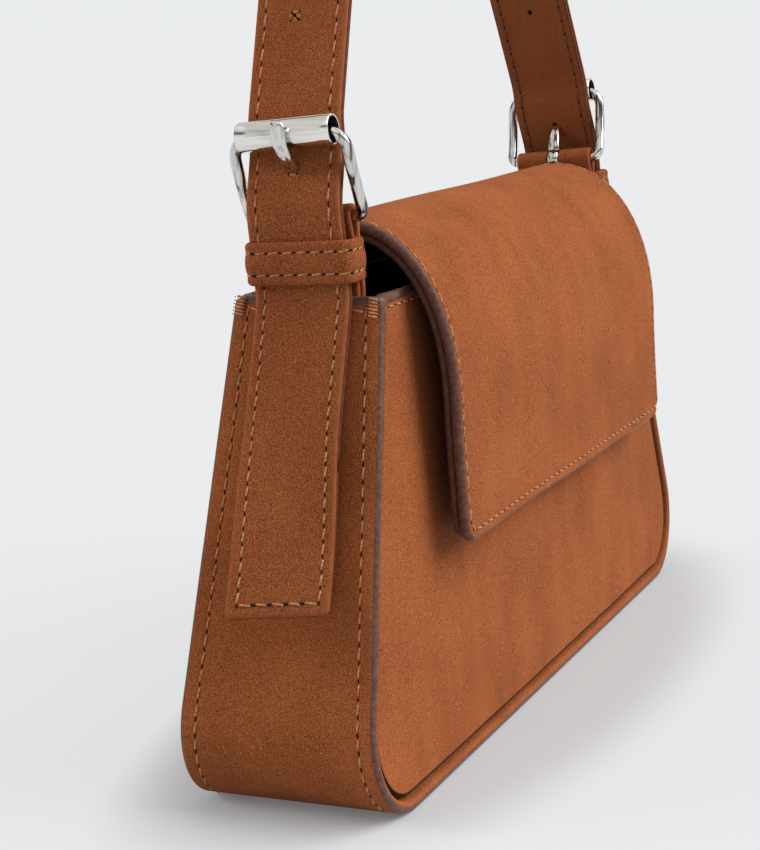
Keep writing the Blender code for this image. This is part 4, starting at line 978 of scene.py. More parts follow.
def lining_wall(inset):
    """Rings of the cup from its top down to its floor, then in towards the middle."""
    foot = GUSSET_THICKNESS + GAP + BOARD_THICKNESS + GAP + inset
    line, _ = half_outline(
        BODY_TOP_HALF - LINING_END_INSET,
        BODY_FOOT_HALF - LINING_END_INSET,
        BODY_HEIGHT,
        foot,
        LINING_CORNER_RADIUS,
        (40, 16, 2),
    )
    line = line[:-1]
    line = line[line[:, 1] <= BODY_HEIGHT - LINING_TOP_DROP]
    rings = []
    for x, z in line:
        half_y = float(half_depth(z)) - LINING_SIDE_INSET - inset
        ring = rounded_loop(-x - inset, half_y, LINING_EDGE_RADIUS - inset)
        wave = np.sin(ring[:, 0] / FOLD_WAVE_X + 2 * np.sin(ring[:, 1] / FOLD_WAVE_Y))
        fold = LINING_FOLD * (1 + wave)
        fold = fold * smooth_step((BODY_HEIGHT - LINING_TOP_DROP - z) / FOLD_EASE)
        ring = ring * (1 - fold[:, None] / half_y * (z > foot + FOLD_FREE_FLOOR))
        rings.append(np.column_stack([ring, np.full(len(ring), z)]))
    for share in (0.75, 0.5, 0.25):
        rings.append(rings[len(line) - 1] * np.array([share, share, 1.0]))
    return rings


outside, inside = lining_wall(0.0), lining_wall(LINING_THICKNESS)
rings = np.array(outside[::-1] + inside)
poles = np.array([[0.0, 0.0, outside[-1][0, 2]], [0.0, 0.0, inside[-1][0, 2]]])
points = np.concatenate([rings.reshape(-1, 3), poles])
quads = grid_quads(*rings.shape[:2], wrap=True)
lining = make_piece("lining_cloth", points, quads, [lining_cloth], capped(rings.shape[:2]))
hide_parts("lining")
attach(lining, "bag")

for node in ("bottom_board", "snap_socket_washer"):
    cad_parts[node].material_slots[0].material = grey_board if node == "bottom_board" else nickel

# %% [markdown]
# ## Flap
# The flap is one thick leather that is sewn to the back, rolls over the top and hangs down the
# front, with a thinner inner layer set back from its edge. Seen from the end it is one curve,
# so it is a profile carried along X.

# %% Flap profile
def bezier(start, first, second, end, steps=60):
    """Cubic curve: (1-t)^3 a + 3 (1-t)^2 t b + 3 (1-t) t^2 c + t^3 d."""
    t = np.linspace(0.0, 1.0, steps + 1)[:, None]
    return (1 - t) ** 3 * start + 3 * (1 - t) ** 2 * t * first + 3 * (1 - t) * t ** 2 * second + t ** 3 * end


def crown_y(height):
    """The CAD panel's face distance halfway along the bag, where lap and snap were placed."""
    middle = BODY_HEIGHT / 2
    return panel_edge_y(height) + PANEL_CROWN * (1 - (np.abs(height - middle) / middle) ** 2)


span = SNAP_HEIGHT + np.linspace(-SNAP_SOCKET_RADIUS, SNAP_SOCKET_RADIUS, 9)
snap_back = -float(np.max(crown_y(span))) - GAP
snap_face = snap_back - SNAP_SOCKET_THICKNESS
FLAP_STACK = FLAP_THICKNESS + GAP + FLAP_LINING_THICKNESS
flap_over_snap = snap_face - GAP - SNAP_STUD_THICKNESS - GAP - FLAP_STACK
HINGE_Y = float(crown_y(HINGE_Z)) + GAP + FLAP_THICKNESS / 2

lap_z = np.linspace(HINGE_Z - FLAP_THICKNESS / 2 - GAP - LAP_HEIGHT, HINGE_Z, 30)[:-1]
lap = np.column_stack([crown_y(lap_z) + GAP + FLAP_THICKNESS, lap_z])
start = np.array([HINGE_Y + FLAP_THICKNESS / 2, HINGE_Z])
shoulder = np.array([flap_over_snap + FLAP_SHOULDER_IN, FLAP_SHOULDER_HEIGHT])
foot = np.array([flap_over_snap - FLAP_FOOT_OUT, FLAP_FOOT_HEIGHT])
rise, behind = FLAP_CREST[1] - start[1], start[0] - FLAP_CREST[0]
front, fall = FLAP_CREST[0] - shoulder[0], FLAP_CREST[1] - shoulder[1]
rear_roll = bezier(
    start, start + [0.0, rise * REAR_ROLL], FLAP_CREST + [behind * REAR_ROLL, 0.0], FLAP_CREST
)
front_roll = bezier(
    FLAP_CREST, FLAP_CREST - [front * CREST_ROLL, 0.0], shoulder + [0.0, fall * SHOULDER_ROLL], shoulder
)
hang = shoulder + (foot - shoulder) * np.linspace(0, 1, 30)[1:, None]
F_POINTS = np.concatenate([lap, rear_roll, front_roll[1:], hang])
F_RUN = run_lengths(F_POINTS)
F_WAY = unit(np.gradient(F_POINTS, F_RUN, axis=0))
F_NORMALS = np.column_stack([F_WAY[:, 1], -F_WAY[:, 0]])
F_LENGTH, F_HINGE = float(F_RUN[-1]), float(F_RUN[len(lap)])
print("flap and lap run", round(F_LENGTH, 4), "m over the top")

# %% [markdown]
# The profile is carried along X twice, as the thick outer leather and as the thinner inner one.
# The inner one starts just after the fold line.

# %% Flap surfaces
FLAP_DOME, FLAP_SEAM, FLAP_SIDE_SEAM, LAP_SEAM = 0.0012, 0.0030, 0.0021, 0.0030
FLAP_WANDER, FLAP_WAVE, FLAP_HELD, FLAP_LOOSE_OVER = 0.00045, 0.060, 0.012, 0.03
FLAP_ROWS, FLAP_COLUMNS = (0.0006, 0.0016, 0.004), (0.006, 0.022, 0.06)
BEND_BEFORE, BEND_AFTER = 0.0015, 0.0030


def flap_surface(s, x, depth=0.0):
    """The profile at distance s, moved out by a slow wander and in by depth; x runs along it."""
    point, outward = take(F_RUN, F_POINTS, s), take(F_RUN, F_NORMALS, s)
    loose = smooth_step((s - F_HINGE - FLAP_HELD) / FLAP_LOOSE_OVER)
    moved = FLAP_WANDER * loose * ripple(x, s, FLAP_WAVE, 23) - depth
    edge = FLAP_HALF_LENGTH - np.abs(x)
    if np.all(np.asarray(depth) == 0.0):
        moved = moved - groove(edge - FLAP_SIDE_SEAM) - groove(F_LENGTH - s - FLAP_SEAM)
        moved = moved - groove(s - LAP_SEAM)
    return np.stack(
        [x + FLAP_OFF_MIDDLE + 0 * s, point[..., 0] + outward[..., 0] * moved,
         point[..., 1] + outward[..., 1] * moved],
        axis=-1,
    )


def flap_layer(name, depth, thickness, start, end_trim, half, dome, materials, **options):
    """One layer of the flap: rows along the profile, narrower round its two front corners."""
    end = F_LENGTH - end_trim - dome
    radius = FLAP_CORNER_RADIUS - dome
    straight = crowded(start + dome, end - radius, *FLAP_ROWS)
    corner = end - radius + radius * np.sin(np.linspace(0, math.pi / 2, 12))[1:]
    s = np.concatenate([straight, corner])
    past = np.clip(s - (end - radius), 0.0, radius)
    halves = half - dome - radius + np.sqrt(np.maximum(radius ** 2 - past ** 2, 0.0))
    shares = crowded(-1.0, 1.0, *FLAP_COLUMNS)
    x = halves[:, None] * shares[None, ::-1]
    face = flap_surface(np.broadcast_to(s[:, None], x.shape), x, depth)
    return leather_sheet(
        name, face, thickness, dome, materials, painted=("first", "last", "left", "right"), **options
    )


flap = flap_layer(
    "flap_leather", 0.0, FLAP_THICKNESS, 0.0, 0.0, FLAP_HALF_LENGTH, FLAP_DOME, [tan_nubuck]
)
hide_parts("flap_outer", "flap_back_lap")
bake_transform(flap)

flap_inner = flap_layer(
    "flap_inner_leather",
    FLAP_THICKNESS + GAP,
    FLAP_LINING_THICKNESS,
    F_HINGE + BEND_AFTER,
    FLAP_LINING_INSET / 2,
    FLAP_HALF_LENGTH - FLAP_LINING_INSET,
    FLAP_LINING_THICKNESS * 0.45,
    [flap_flesh, lining_cloth],
    back_kind=1,
)
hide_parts("flap_lining")
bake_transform(flap_inner)

# %% [markdown]
# ## Turned parts
# Discs and tubes are a profile (radius, height) carried round an axis.

# %% Turned parts
def turned(name, profile, centre, finishes, steps=72, dent=None, moved=None, inner=()):
    """A closed profile of (radius, y) points carried round a Y axis through centre.

    The profile's steps numbered in inner take the second finish.
    """
    turn = turns(steps)
    dip = 0.0 if dent is None else dent(turn[:, None], profile[None])
    radius = profile[None, :, 0] - dip + np.zeros((steps, 1))
    points = np.stack(
        [
            centre[0] + radius * np.cos(turn)[:, None],
            centre[1] + profile[None, :, 1] + 0 * radius,
            centre[2] + radius * np.sin(turn)[:, None],
        ],
        axis=-1,
    )
    points = points if moved is None else moved(points)
    quads = grid_quads(steps + 1, len(profile), wrap=True) % (steps * len(profile))
    kinds = np.tile(np.isin(np.arange(len(profile)), inner).astype(int), steps)
    return make_piece(name, points.reshape(-1, 3), quads, finishes, kinds=kinds)


def disc_profile(outline):
    """A profile that starts and ends at a hair's breadth from the axis, so the disc is closed."""
    outline = np.array(outline, float)
    outline[[0, -1], 0] = 1e-5
    return outline


# %% [markdown]
# ## Magnetic snap
# A flap of this form is held by a hidden magnetic snap: a dished socket on the panel and a
# stud under the flap. Both are pressed discs with rolled rims.

# %% Snap
snap_s = np.interp(-SNAP_HEIGHT, -F_POINTS[-25:, 1], F_RUN[-25:])
stud_back = take(F_RUN, F_POINTS - F_NORMALS * FLAP_STACK, [snap_s])[0, 0] + GAP
stud = turned(
    "snap_stud_nickel",
    disc_profile([
        (0, 0), (0.0064, 0), (0.0070, 0.0003), (0.0070, 0.0009), (0.0066, 0.0013), (0.0034, 0.0012),
        (0.0030, 0.0014), (0.0029, 0.0019), (0.0026, 0.0021), (0, 0.0021),
    ]),
    (0.0, stud_back, SNAP_HEIGHT),
    [nickel],
)
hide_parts("snap_stud")
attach(stud, "flap")
socket = turned(
    "snap_socket_nickel",
    disc_profile([
        (0, 0), (0.0077, 0), (0.0080, -0.0004), (0.0079, -0.0013), (0.0074, -0.0016),
        (0.0048, -0.0015), (0.0043, -0.0013), (0.0043, -0.0006), (0.0040, -0.0005), (0, -0.0005),
    ]),
    (0.0, snap_back, SNAP_HEIGHT),
    [nickel],
)
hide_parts("snap_socket")
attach(socket, "bag")

# %% [markdown]
# ## Strap
# The strap is two layers of leather, sewn along both sides. Each end goes behind the roller,
# out through the frame, down through the keeper and hangs beside the gusset. It is one path in
# a side plane, mirrored for the other end, and from the body's top edge up it leans back.

# %% Strap path
def leg_u(heights):
    """Outer face above the roller: level at the roller, then leaning inwards."""
    rise = np.maximum(np.asarray(heights, float) - ROLLER_POINT[1], 0.0)
    eased = np.where(rise < STRAP_EASE, rise ** 2 / (2 * STRAP_EASE), rise - STRAP_EASE / 2)
    return STRAP_BEHIND_U - math.tan(STRAP_IN_LEAN) * eased


def strap_side():
    """Outer face of one side as (u, z) from the tail's tip up to the middle of the arch."""
    bend_top = PIVOT_Z + STRAP_BEND_RISE + GAP
    heights = np.arange(TAIL_FOOT_HEIGHT, bend_top, 0.0004)
    low = BAR_HEIGHT + WIRE_RADIUS
    crossing = smooth_step((ROLLER_POINT[1] - heights) / (ROLLER_POINT[1] - low))
    u = leg_u(heights) + (STRAP_FRONT_U - STRAP_BEHIND_U) * crossing
    below = BODY_HEIGHT - heights
    end_line = BODY_TOP_HALF + (BODY_FOOT_HALF - BODY_TOP_HALF) * below / BODY_HEIGHT
    hang = end_line + GAP + TAIL_STAND_OFF * smooth_step(below / TAIL_EASE) + STRAP_THICKNESS
    tip = np.clip(below / (BODY_HEIGHT - TAIL_FOOT_HEIGHT), 0.0, 1.0)
    hang = hang + TAIL_TIP_KICK * tip ** 3
    u = np.where(below > 0, np.maximum(u, hang), u)
    blur = np.ones(9) / 9
    u[4:-4] = np.convolve(u, blur, "valid")
    start = np.array([float(leg_u(bend_top)), bend_top])
    way = np.array([-math.sin(STRAP_IN_LEAN), math.cos(STRAP_IN_LEAN)])
    straight = start + way * np.linspace(0, STRAP_STRAIGHT, 80)[:, None]
    radius = straight[-1, 0] / math.cos(STRAP_IN_LEAN)
    centre_z = straight[-1, 1] - radius * math.sin(STRAP_IN_LEAN)
    angle = np.linspace(STRAP_IN_LEAN, math.pi / 2, 60)[1:, None]
    arc = np.hstack([radius * np.cos(angle), centre_z + radius * np.sin(angle)])
    arc[-1, 0] = 0.0
    return np.concatenate([np.column_stack([u, heights]), straight, arc])


right_side = strap_side()
S_POINTS = np.concatenate([right_side, right_side[::-1][1:] * MIRROR])
S_RUN = run_lengths(S_POINTS)
S_LENGTH = float(S_RUN[-1])
S_WAY = unit(np.gradient(S_POINTS, S_RUN, axis=0))
S_NORMALS = np.column_stack([S_WAY[:, 1], -S_WAY[:, 0]])
print("strap is", round(S_LENGTH, 3), "m from tip to tip")

# %% [markdown]
# Both layers follow that path at their own depths. The free tails turn towards the front as
# they hang.

# %% Strap layers
STRAP_SEAM, STRAP_DOME = 0.0027, 0.0010
STRAP_ROWS, STRAP_COLUMNS = (0.0006, 0.0013, 0.004), (0.045, 0.09, 0.36)


def strap_surface(s, w, depth=0.0):
    """The path at distance s, across by w, in by depth; tails turned forwards, legs leaned back."""
    point, outward = take(S_RUN, S_POINTS, s), take(S_RUN, S_NORMALS, s)
    inward = depth + 0 * s
    if np.all(np.asarray(depth) == 0.0):
        inward = inward + groove(STRAP_WIDTH / 2 - STRAP_SEAM - np.abs(w))
    hung = smooth_step((TAIL_TURN_START - point[..., 1]) / (TAIL_TURN_START - TAIL_FOOT_HEIGHT))
    turn = TAIL_TURN * hung * np.sign(point[..., 0])
    beside, behind = w - TAIL_TURN_AXIS, -outward[..., 0] * inward
    x = point[..., 0] + behind * np.cos(turn) + beside * np.sin(turn)
    y = TAIL_TURN_AXIS + beside * np.cos(turn) - behind * np.sin(turn) - TAIL_FORWARD * hung
    z = point[..., 1] - outward[..., 1] * inward
    return eased_lean(np.stack(np.broadcast_arrays(x, y, z), axis=-1))


def strap_station(height, side):
    """Distance along the strap of the point at a height on the right (1) or left (-1) leg."""
    s = float(np.interp(height, right_side[:, 1], S_RUN[:len(right_side)]))
    return s if side > 0 else S_LENGTH - s


def strap_layer(name, depth, low, high, finish, round_low, round_high, dark=None):
    """A length of one layer from s = low to s = high, with round corners at a free end."""
    radius = TAIL_CORNER_RADIUS - STRAP_DOME
    half = STRAP_WIDTH / 2 - STRAP_DOME
    s = crowded(low + STRAP_DOME, high - STRAP_DOME, *STRAP_ROWS)
    past = np.zeros(len(s))
    if round_low:
        past = np.maximum(past, low + STRAP_DOME + radius - s)
    if round_high:
        past = np.maximum(past, s - (high - STRAP_DOME - radius))
    halves = half - radius + np.sqrt(np.maximum(radius ** 2 - past ** 2, 0.0))
    w = halves[:, None] * crowded(-1.0, 1.0, *STRAP_COLUMNS)[None]
    face = strap_surface(np.broadcast_to(s[:, None], w.shape), w, depth)
    return leather_sheet(
        name, face, STRAP_LAYER, STRAP_DOME, [finish],
        painted=("left", "right", "first", "last"), dark=dark,
    )


# The face's side edges carry painted shade: the dark line between face and backing.
strap_face = strap_layer(
    "strap_face_leather", 0.0, 0.0, S_LENGTH, strap_nubuck, True, True, (0.70, ("left", "right"))
)
joint_top, joint_foot = TAIL_JOINT_HEIGHT + TAIL_JOINT_GAP / 2, TAIL_JOINT_HEIGHT - TAIL_JOINT_GAP / 2
backing_depth = STRAP_LAYER + GAP
backing_ends = [strap_station(joint_top, side) for side in (1, -1)]
strap_backing = strap_layer(
    "strap_backing_leather", backing_depth, *backing_ends, flesh_side, False, False
)

# %% [markdown]
# The backing of each hanging tail is a length of its own. A 2 mm gap parts it from the strap's
# backing, and shows at the near tail.

# %% Tail backings
for label, side in ENDS:
    ends = sorted([strap_station(TAIL_FOOT_HEIGHT, side), strap_station(joint_foot, side)])
    piece = strap_layer(
        f"{label}_tail_backing_leather", backing_depth, *ends, flesh_side, side > 0, side < 0
    )
    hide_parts(f"{label}_tail_backing")
    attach(piece, "bag")

# %% [markdown]
# ## Punched holes
# The adjusting holes are punched with a cross-shaped tool, so each is a small X with lifted
# lips on the face. A star-shaped prism is cut from the face and a small round one from the
# backing, and four small lips are laid round the star. The prong passes through the lowest.

# %% Prong line
PRONG_HOOK_TURN, PRONG_TOUCH = (math.radians(-75), math.radians(-257)), math.radians(-18)


def prong_line():
    """Centre line in (u, z): three quarters of a turn round the bar, then up to the roller."""
    hook = WIRE_RADIUS + GAP + PRONG_RADIUS
    angle = np.linspace(*PRONG_HOOK_TURN, 40)[:, None]
    ring = BAR_POINT + hook * np.hstack([np.cos(angle), np.sin(angle)])
    rest = ROLLER_RADIUS + GAP + PRONG_RADIUS
    touch = ROLLER_POINT + rest * np.array([math.cos(PRONG_TOUCH), math.sin(PRONG_TOUCH)])
    tip = ROLLER_POINT + np.array([rest, PRONG_TIP_RISE])
    slot = np.array([
        np.interp(PRONG_SLOT_HEIGHT, [BAR_HEIGHT, ROLLER_POINT[1]], [BAR_U, ROLLER_POINT[0]]),
        PRONG_SLOT_HEIGHT,
    ])
    knee = (touch + slot) / 2 - np.array([0.0, PRONG_RADIUS])
    shank = bezier(ring[-1], ring[-1] + [0.0, PRONG_SHANK_RISE], slot, knee, 40)
    climb = bezier(knee, (knee + touch) / 2, touch - [0.0, PRONG_RADIUS], touch, 30)
    last = touch + (tip - touch) * np.linspace(0, 1, 16)[1:, None]
    line = np.concatenate([ring[:-1], shank, climb[1:], last])
    run = run_lengths(line)
    return take(run, line, np.linspace(0, run[-1], 150))


PRONG_LINE = prong_line()
hooked = PRONG_LINE[:, 1] > BAR_HEIGHT + 2 * WIRE_RADIUS
strap_outside = np.interp(PRONG_LINE[:, 1], right_side[:, 1], right_side[:, 0])
emerged = int(np.argmax(hooked & (PRONG_LINE[:, 0] > strap_outside)))
PRONG_CROSSING = float(PRONG_LINE[emerged, 1])
print("prong passes through the strap at height", round(PRONG_CROSSING, 4))

# %% [markdown]
# A hole's place is a distance along the strap and an offset across it. On the left the free
# holes lie a little off the middle.

# %% Holes
HOLE_SPAN, HOLE_SLIT, BACK_HOLE_RADIUS, BACK_HOLE_SIDES = 0.0036, 0.00075, 0.00085, 16
HOLE_OFF = {-1: 0.0015, 1: 0.0}
CUT_OUT, CUT_IN, SHADOW_SHARE, SHADOW_BULGE, SHADOW_SIDES = 0.001, 0.005, 0.6, 0.0001, 12
LIP_LIFT, LIP_FOOT, LIP_THICKNESS, LIP_SPREAD = 0.00055, 0.00004, 0.00045, 0.56
LIP_INNER, LIP_OUTER, LIP_ACROSS, LIP_OUT = 0.00055, HOLE_SPAN * 0.46, 6, 4


def hole_places():
    """Stations and offsets across of every punched hole: free ones and the prongs' own."""
    start = S_RUN[np.searchsorted(right_side[:, 1], PIVOT_Z + STRAP_BEND_RISE + GAP)]
    free = start + HOLE_FIRST + HOLE_PITCH * np.arange(HOLE_COUNT)
    right = np.append(free, strap_station(PRONG_CROSSING, 1))
    off = np.append(np.ones(HOLE_COUNT), 0.0)
    return np.concatenate([S_LENGTH - right, right]), np.concatenate([off * HOLE_OFF[-1], off * HOLE_OFF[1]])


def hole_frames(s, w):
    """Centre, across, along and outward directions on the strap's face, one row per place."""
    step = 0.0002
    centre = strap_surface(s, w)
    across = unit(strap_surface(s, w + step) - centre)
    along = unit(strap_surface(s + step, w) - centre)
    return centre, across, along, unit(np.cross(across, along))


def star_outline():
    """Corners of an X with four arms, in its own plane."""
    long, short = HOLE_SPAN / 2, HOLE_SLIT / 2
    tip, reach = math.atan2(short, long), math.hypot(long, short)
    middle = math.pi / 4 + np.arange(4)[:, None] * math.pi / 2
    angles = (middle + np.array([-tip, tip, math.pi / 4])).reshape(-1)
    radii = np.tile([reach, reach, short * math.sqrt(2)], 4)
    return np.column_stack([radii * np.cos(angles), radii * np.sin(angles)])


print("cross-shaped holes", 2 * (HOLE_COUNT + 1))

# %% [markdown]
# Leather is cut with prisms: a ring of points above it, the same ring below it, walls between
# and an end on each. The cut piece is the leather less the prisms.

# %% Cutting
def prisms(tops, lows):
    """Closed prisms from each ring of tops to its ring of lows, as one object to cut with."""
    places, corners = tops.shape[:2]
    first = np.arange(corners)
    ahead = np.roll(first, -1)
    walls = np.column_stack([first, first + corners, ahead + corners, ahead])
    ends = np.stack([first, first[::-1] + corners])
    faces = [repeated(cells, places, 2 * corners).tolist() for cells in (walls, ends)]
    mesh = bpy.data.meshes.new("cutter")
    mesh.from_pydata(np.stack([tops, lows], axis=1).reshape(-1, 3).tolist(), [], faces[0] + faces[1])
    cutter = bpy.data.objects.new("cutter", mesh)
    bpy.context.scene.collection.objects.link(cutter)
    return cutter


def subtract(piece, cutter):
    """Cuts with an exact Boolean, keeps the result as the piece's mesh and drops the cutter."""
    for finish in piece.data.materials:
        cutter.data.materials.append(finish)
    modifier = piece.modifiers.new("cut", "BOOLEAN")
    modifier.operation = "DIFFERENCE"
    modifier.solver = "EXACT"
    modifier.object = cutter
    bpy.context.view_layer.update()
    shape = piece.evaluated_get(bpy.context.evaluated_depsgraph_get())
    cut_mesh = bpy.data.meshes.new_from_object(shape)
    piece.modifiers.clear()
    piece.data = cut_mesh
    bpy.data.objects.remove(cutter)
    print(piece.name, "cut:", len(cut_mesh.vertices), "points")


# %% [markdown]
# The tool leaves torn lips between the arms of the X, and no light reaches the hole's bottom.

# %% Lips and shadows
def hole_lips(frames):
    """Four lips round each X, one between each two arms, rising to the middle of the hole.

    At turn a and share q from the middle outwards the lip's height is lift * (1 - q)^2.
    """
    q = np.linspace(0.0, 1.0, LIP_OUT)[:, None]
    spread = np.linspace(-LIP_SPREAD, LIP_SPREAD, LIP_ACROSS)[None]
    turn = np.arange(4)[:, None, None] * math.pi / 2 + spread
    reach = LIP_INNER + q * (LIP_OUTER - LIP_INNER)
    flat = np.stack([reach * np.cos(turn), reach * np.sin(turn)], axis=-1)
    lift = (LIP_LIFT * (1 - q) ** 2 + LIP_FOOT) * (1 + 0 * turn)
    centre, wide, long, outward = [part[:, None, None, None] for part in frames]
    top = centre + flat[..., :1] * wide + flat[..., 1:] * long + lift[..., None] * outward
    lips = np.stack([top, top - outward * LIP_THICKNESS], axis=2)
    count = LIP_ACROSS * LIP_OUT
    cells = grid_quads(LIP_OUT, LIP_ACROSS)
    i, j, _ = border_loop(LIP_OUT, LIP_ACROSS)
    loop = i * LIP_ACROSS + j
    ahead = np.roll(loop, -1)
    wall = np.column_stack([loop, ahead, ahead + count, loop + count])
    cells = np.concatenate([cells, cells[:, ::-1] + count, wall[:, ::-1]])
    points = lips.reshape(-1, 3)
    quads = repeated(cells, len(points) // (2 * count), 2 * count)
    return make_piece("hole_lips_leather", points, quads, [lip_nubuck])


def hole_shadows(frames):
    """A dark round patch between the two layers at each X, where no light gets in."""
    turn = turns(SHADOW_SIDES)[:, None]
    centre, wide, long, outward = [part[:, None] for part in frames]
    ring = np.cos(turn) * wide + np.sin(turn) * long
    middle = centre - outward * (STRAP_LAYER + GAP / 2)
    points = np.concatenate([
        middle + ring * HOLE_SPAN * SHADOW_SHARE,
        middle + outward * SHADOW_BULGE,
        middle - outward * SHADOW_BULGE,
    ], axis=1)
    size = points.shape[1]
    patch = bulged_disc(SHADOW_SIDES)
    return make_piece(
        "hole_shadows", points.reshape(-1, 3), np.zeros((0, 4), int), [needle_hole],
        repeated(patch, len(points), size),
    )


# %% [markdown]
# The face gets the X and the backing a small round hole. Strap and buckled ends are one piece
# of leather here, so they stand in for the CAD's separate lengths.

# %% Cut and dress the strap
frames = hole_frames(*hole_places())
lips = hole_lips(frames)
shadows = hole_shadows(frames)
centre, wide, long, outward = [part[:, None] for part in frames]
turn = turns(BACK_HOLE_SIDES)
round_outline = BACK_HOLE_RADIUS * np.column_stack([np.cos(turn), np.sin(turn)])
for layer, flat in ((strap_face, star_outline()), (strap_backing, round_outline)):
    ring = flat[:, :1] * wide + flat[:, 1:] * long + centre
    subtract(layer, prisms(ring + outward * CUT_OUT, ring - outward * CUT_IN))

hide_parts("strap_face")
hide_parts("strap_backing")
for label, _ in ENDS:
    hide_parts(f"{label}_strap_end_face", f"{label}_strap_bend_face")
    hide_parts(f"{label}_strap_end_backing", f"{label}_strap_bend_backing")
for piece, name in (
    (shadows, "tan_nubuck_flesh_side"), (lips, "tan_nubuck"),
    (strap_face, "tan_nubuck"), (strap_backing, "tan_nubuck_flesh_side"),
):
    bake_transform(piece)

# %% [markdown]
# ## Buckles
# Each buckle is a cast frame shaped like a bent wire, with a rolled tube on its upper bar and
# a prong hooked on the lower one. The tube's ends are open, and the wire enters there.

# %% Frames and rollers
ROLLER_SEAM, SEAM_WIDTH, SEAM_DEPTH, ROLLER_EDGE = math.radians(104), 0.05, 0.0002, 0.00022


def frame_loop():
    """Rounded rectangle (y, v): wide bends at the roller, tight ones at the lower bar."""
    quarter = np.linspace(0, math.pi / 2, 26)
    half_y, half_v = FRAME_WIDTH / 2, FRAME_HEIGHT / 2
    parts = []
    for corner, (y, v, radius) in enumerate((
        (1, 1, FRAME_TOP_RADIUS), (-1, 1, FRAME_TOP_RADIUS),
        (-1, -1, FRAME_FOOT_RADIUS), (1, -1, FRAME_FOOT_RADIUS),
    )):
        angle = quarter + corner * math.pi / 2
        parts.append(np.column_stack([
            y * (half_y - radius) + radius * np.cos(angle),
            v * (half_v - radius) + radius * np.sin(angle),
        ]))
    even = round_loop(np.concatenate(parts), np.linspace(0, 1, 221)[:-1])
    return even + [0.0, half_v]


def make_buckle(label, side):
    """The frame and its roller at one end; side is -1 for the left."""
    loop = frame_loop()
    bow = FRAME_BOW * np.sin(math.pi * np.clip(loop[:, 1] / FRAME_HEIGHT, 0, 1))
    normal = np.array([FRAME_AXIS[1], -FRAME_AXIS[0]])
    plane = BAR_POINT + FRAME_AXIS * loop[:, 1:] + normal * bow[:, None]
    path = leaned(np.column_stack([side * plane[:, 0], loop[:, 0], plane[:, 1]]))
    reference = np.array([side * normal[0], 0.0, normal[1]])
    wire = rod(
        f"{label}_frame_chrome", path, WIRE_RADIUS, WIRE_RADIUS, reference, frame_chrome, cyclic=True
    )
    half, edge = ROLLER_LENGTH / 2, ROLLER_EDGE
    profile = np.array([
        (ROLLER_RADIUS, -half + edge), (ROLLER_RADIUS, -half / 2), (ROLLER_RADIUS, 0.0),
        (ROLLER_RADIUS, half / 2), (ROLLER_RADIUS, half - edge),
        (ROLLER_RADIUS - edge / 2, half), (ROLLER_BORE + edge / 2, half),
        (ROLLER_BORE, half - edge), (ROLLER_BORE, 0.0), (ROLLER_BORE, -half + edge),
        (ROLLER_BORE + edge / 2, -half), (ROLLER_RADIUS - edge / 2, -half),
    ])

    def seam(turn, shape):
        """The rolled sheet's joint: a narrow dip on the outer wall."""
        away = (turn - (ROLLER_SEAM if side < 0 else math.pi - ROLLER_SEAM)) / SEAM_WIDTH
        return SEAM_DEPTH * np.exp(-away ** 2) * (shape[..., 0] > ROLLER_RADIUS - edge)

    centre = (side * ROLLER_POINT[0], 0.0, ROLLER_POINT[1])
    tube = turned(
        f"{label}_roller_chrome", profile, centre, [roller_chrome, bore_painted_shade], 144, seam, leaned,
        (6, 7, 8, 9),
    )
    return wire, tube


for label, side in ENDS:
    wire, tube = make_buckle(label, side)
    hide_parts(f"{label}_buckle_frame")
    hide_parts(f"{label}_roller")
    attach(wire, "bag")
    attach(tube, f"{label}_roller_body")

# %% [markdown]
# ## Prongs
# The prong hooks round the lower bar, passes out through the hole and rests on the roller. It
# is wider than it is thick, and its tip is rounded off flat.

# %% Prongs
PRONG_NARROW, PRONG_WIDE, PRONG_DEEP, PRONG_BOW, PRONG_TAPER = 0.00185, 0.00190, 0.00105, 1.7, 0.0030
PRONG_TIP_SHARE, PRONG_TIP_LEAST = 0.045, 0.02
for label, side in ENDS:
    line = PRONG_LINE.copy()
    way_up = np.clip((line[emerged:, 1] - PRONG_CROSSING) / (ROLLER_POINT[1] - PRONG_CROSSING), 0, 1)
    bowed = line[emerged, 0] + (line[-1, 0] - line[emerged, 0]) * (1 - (1 - way_up) ** PRONG_BOW)
    line[emerged:, 0] = np.maximum(line[emerged:, 0], bowed)
    widen = smooth_step((line[:, 1] - PRONG_CROSSING) / PRONG_TAPER)
    half_wide = PRONG_NARROW + (PRONG_WIDE - PRONG_NARROW) * widen
    left_over = (len(line) - 1 - np.arange(len(line))) / len(line)
    tip = np.clip(left_over / PRONG_TIP_SHARE, 0, 1)
    rounding = np.sqrt(np.clip(1 - (1 - tip) ** 2, PRONG_TIP_LEAST, 1))
    path = leaned(np.column_stack([side * line[:, 0], np.zeros(len(line)), line[:, 1]]))
    prong = rod(
        f"{label}_prong_chrome",
        path,
        PRONG_DEEP * rounding,
        half_wide * rounding,
        np.array([0.0, 1.0, 0.0]),
        frame_chrome,
    )
    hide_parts(f"{label}_prong")
    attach(prong, f"{label}_prong_body")

# %% [markdown]
# ## Tabs
# A folded tab holds each buckle: it comes up from inside the bag, goes round the lower bar and
# back down, with a slot at its fold for the prong.

# %% Tabs
TAB_DOME, TAB_COLUMNS = 0.0006, (0.04, 0.1, 0.2)
TAB_SLOT_REACH, TAB_SLOT_CORNER, TAB_SLOT_TOP = 0.006, 0.0012, BAR_HEIGHT + 0.010


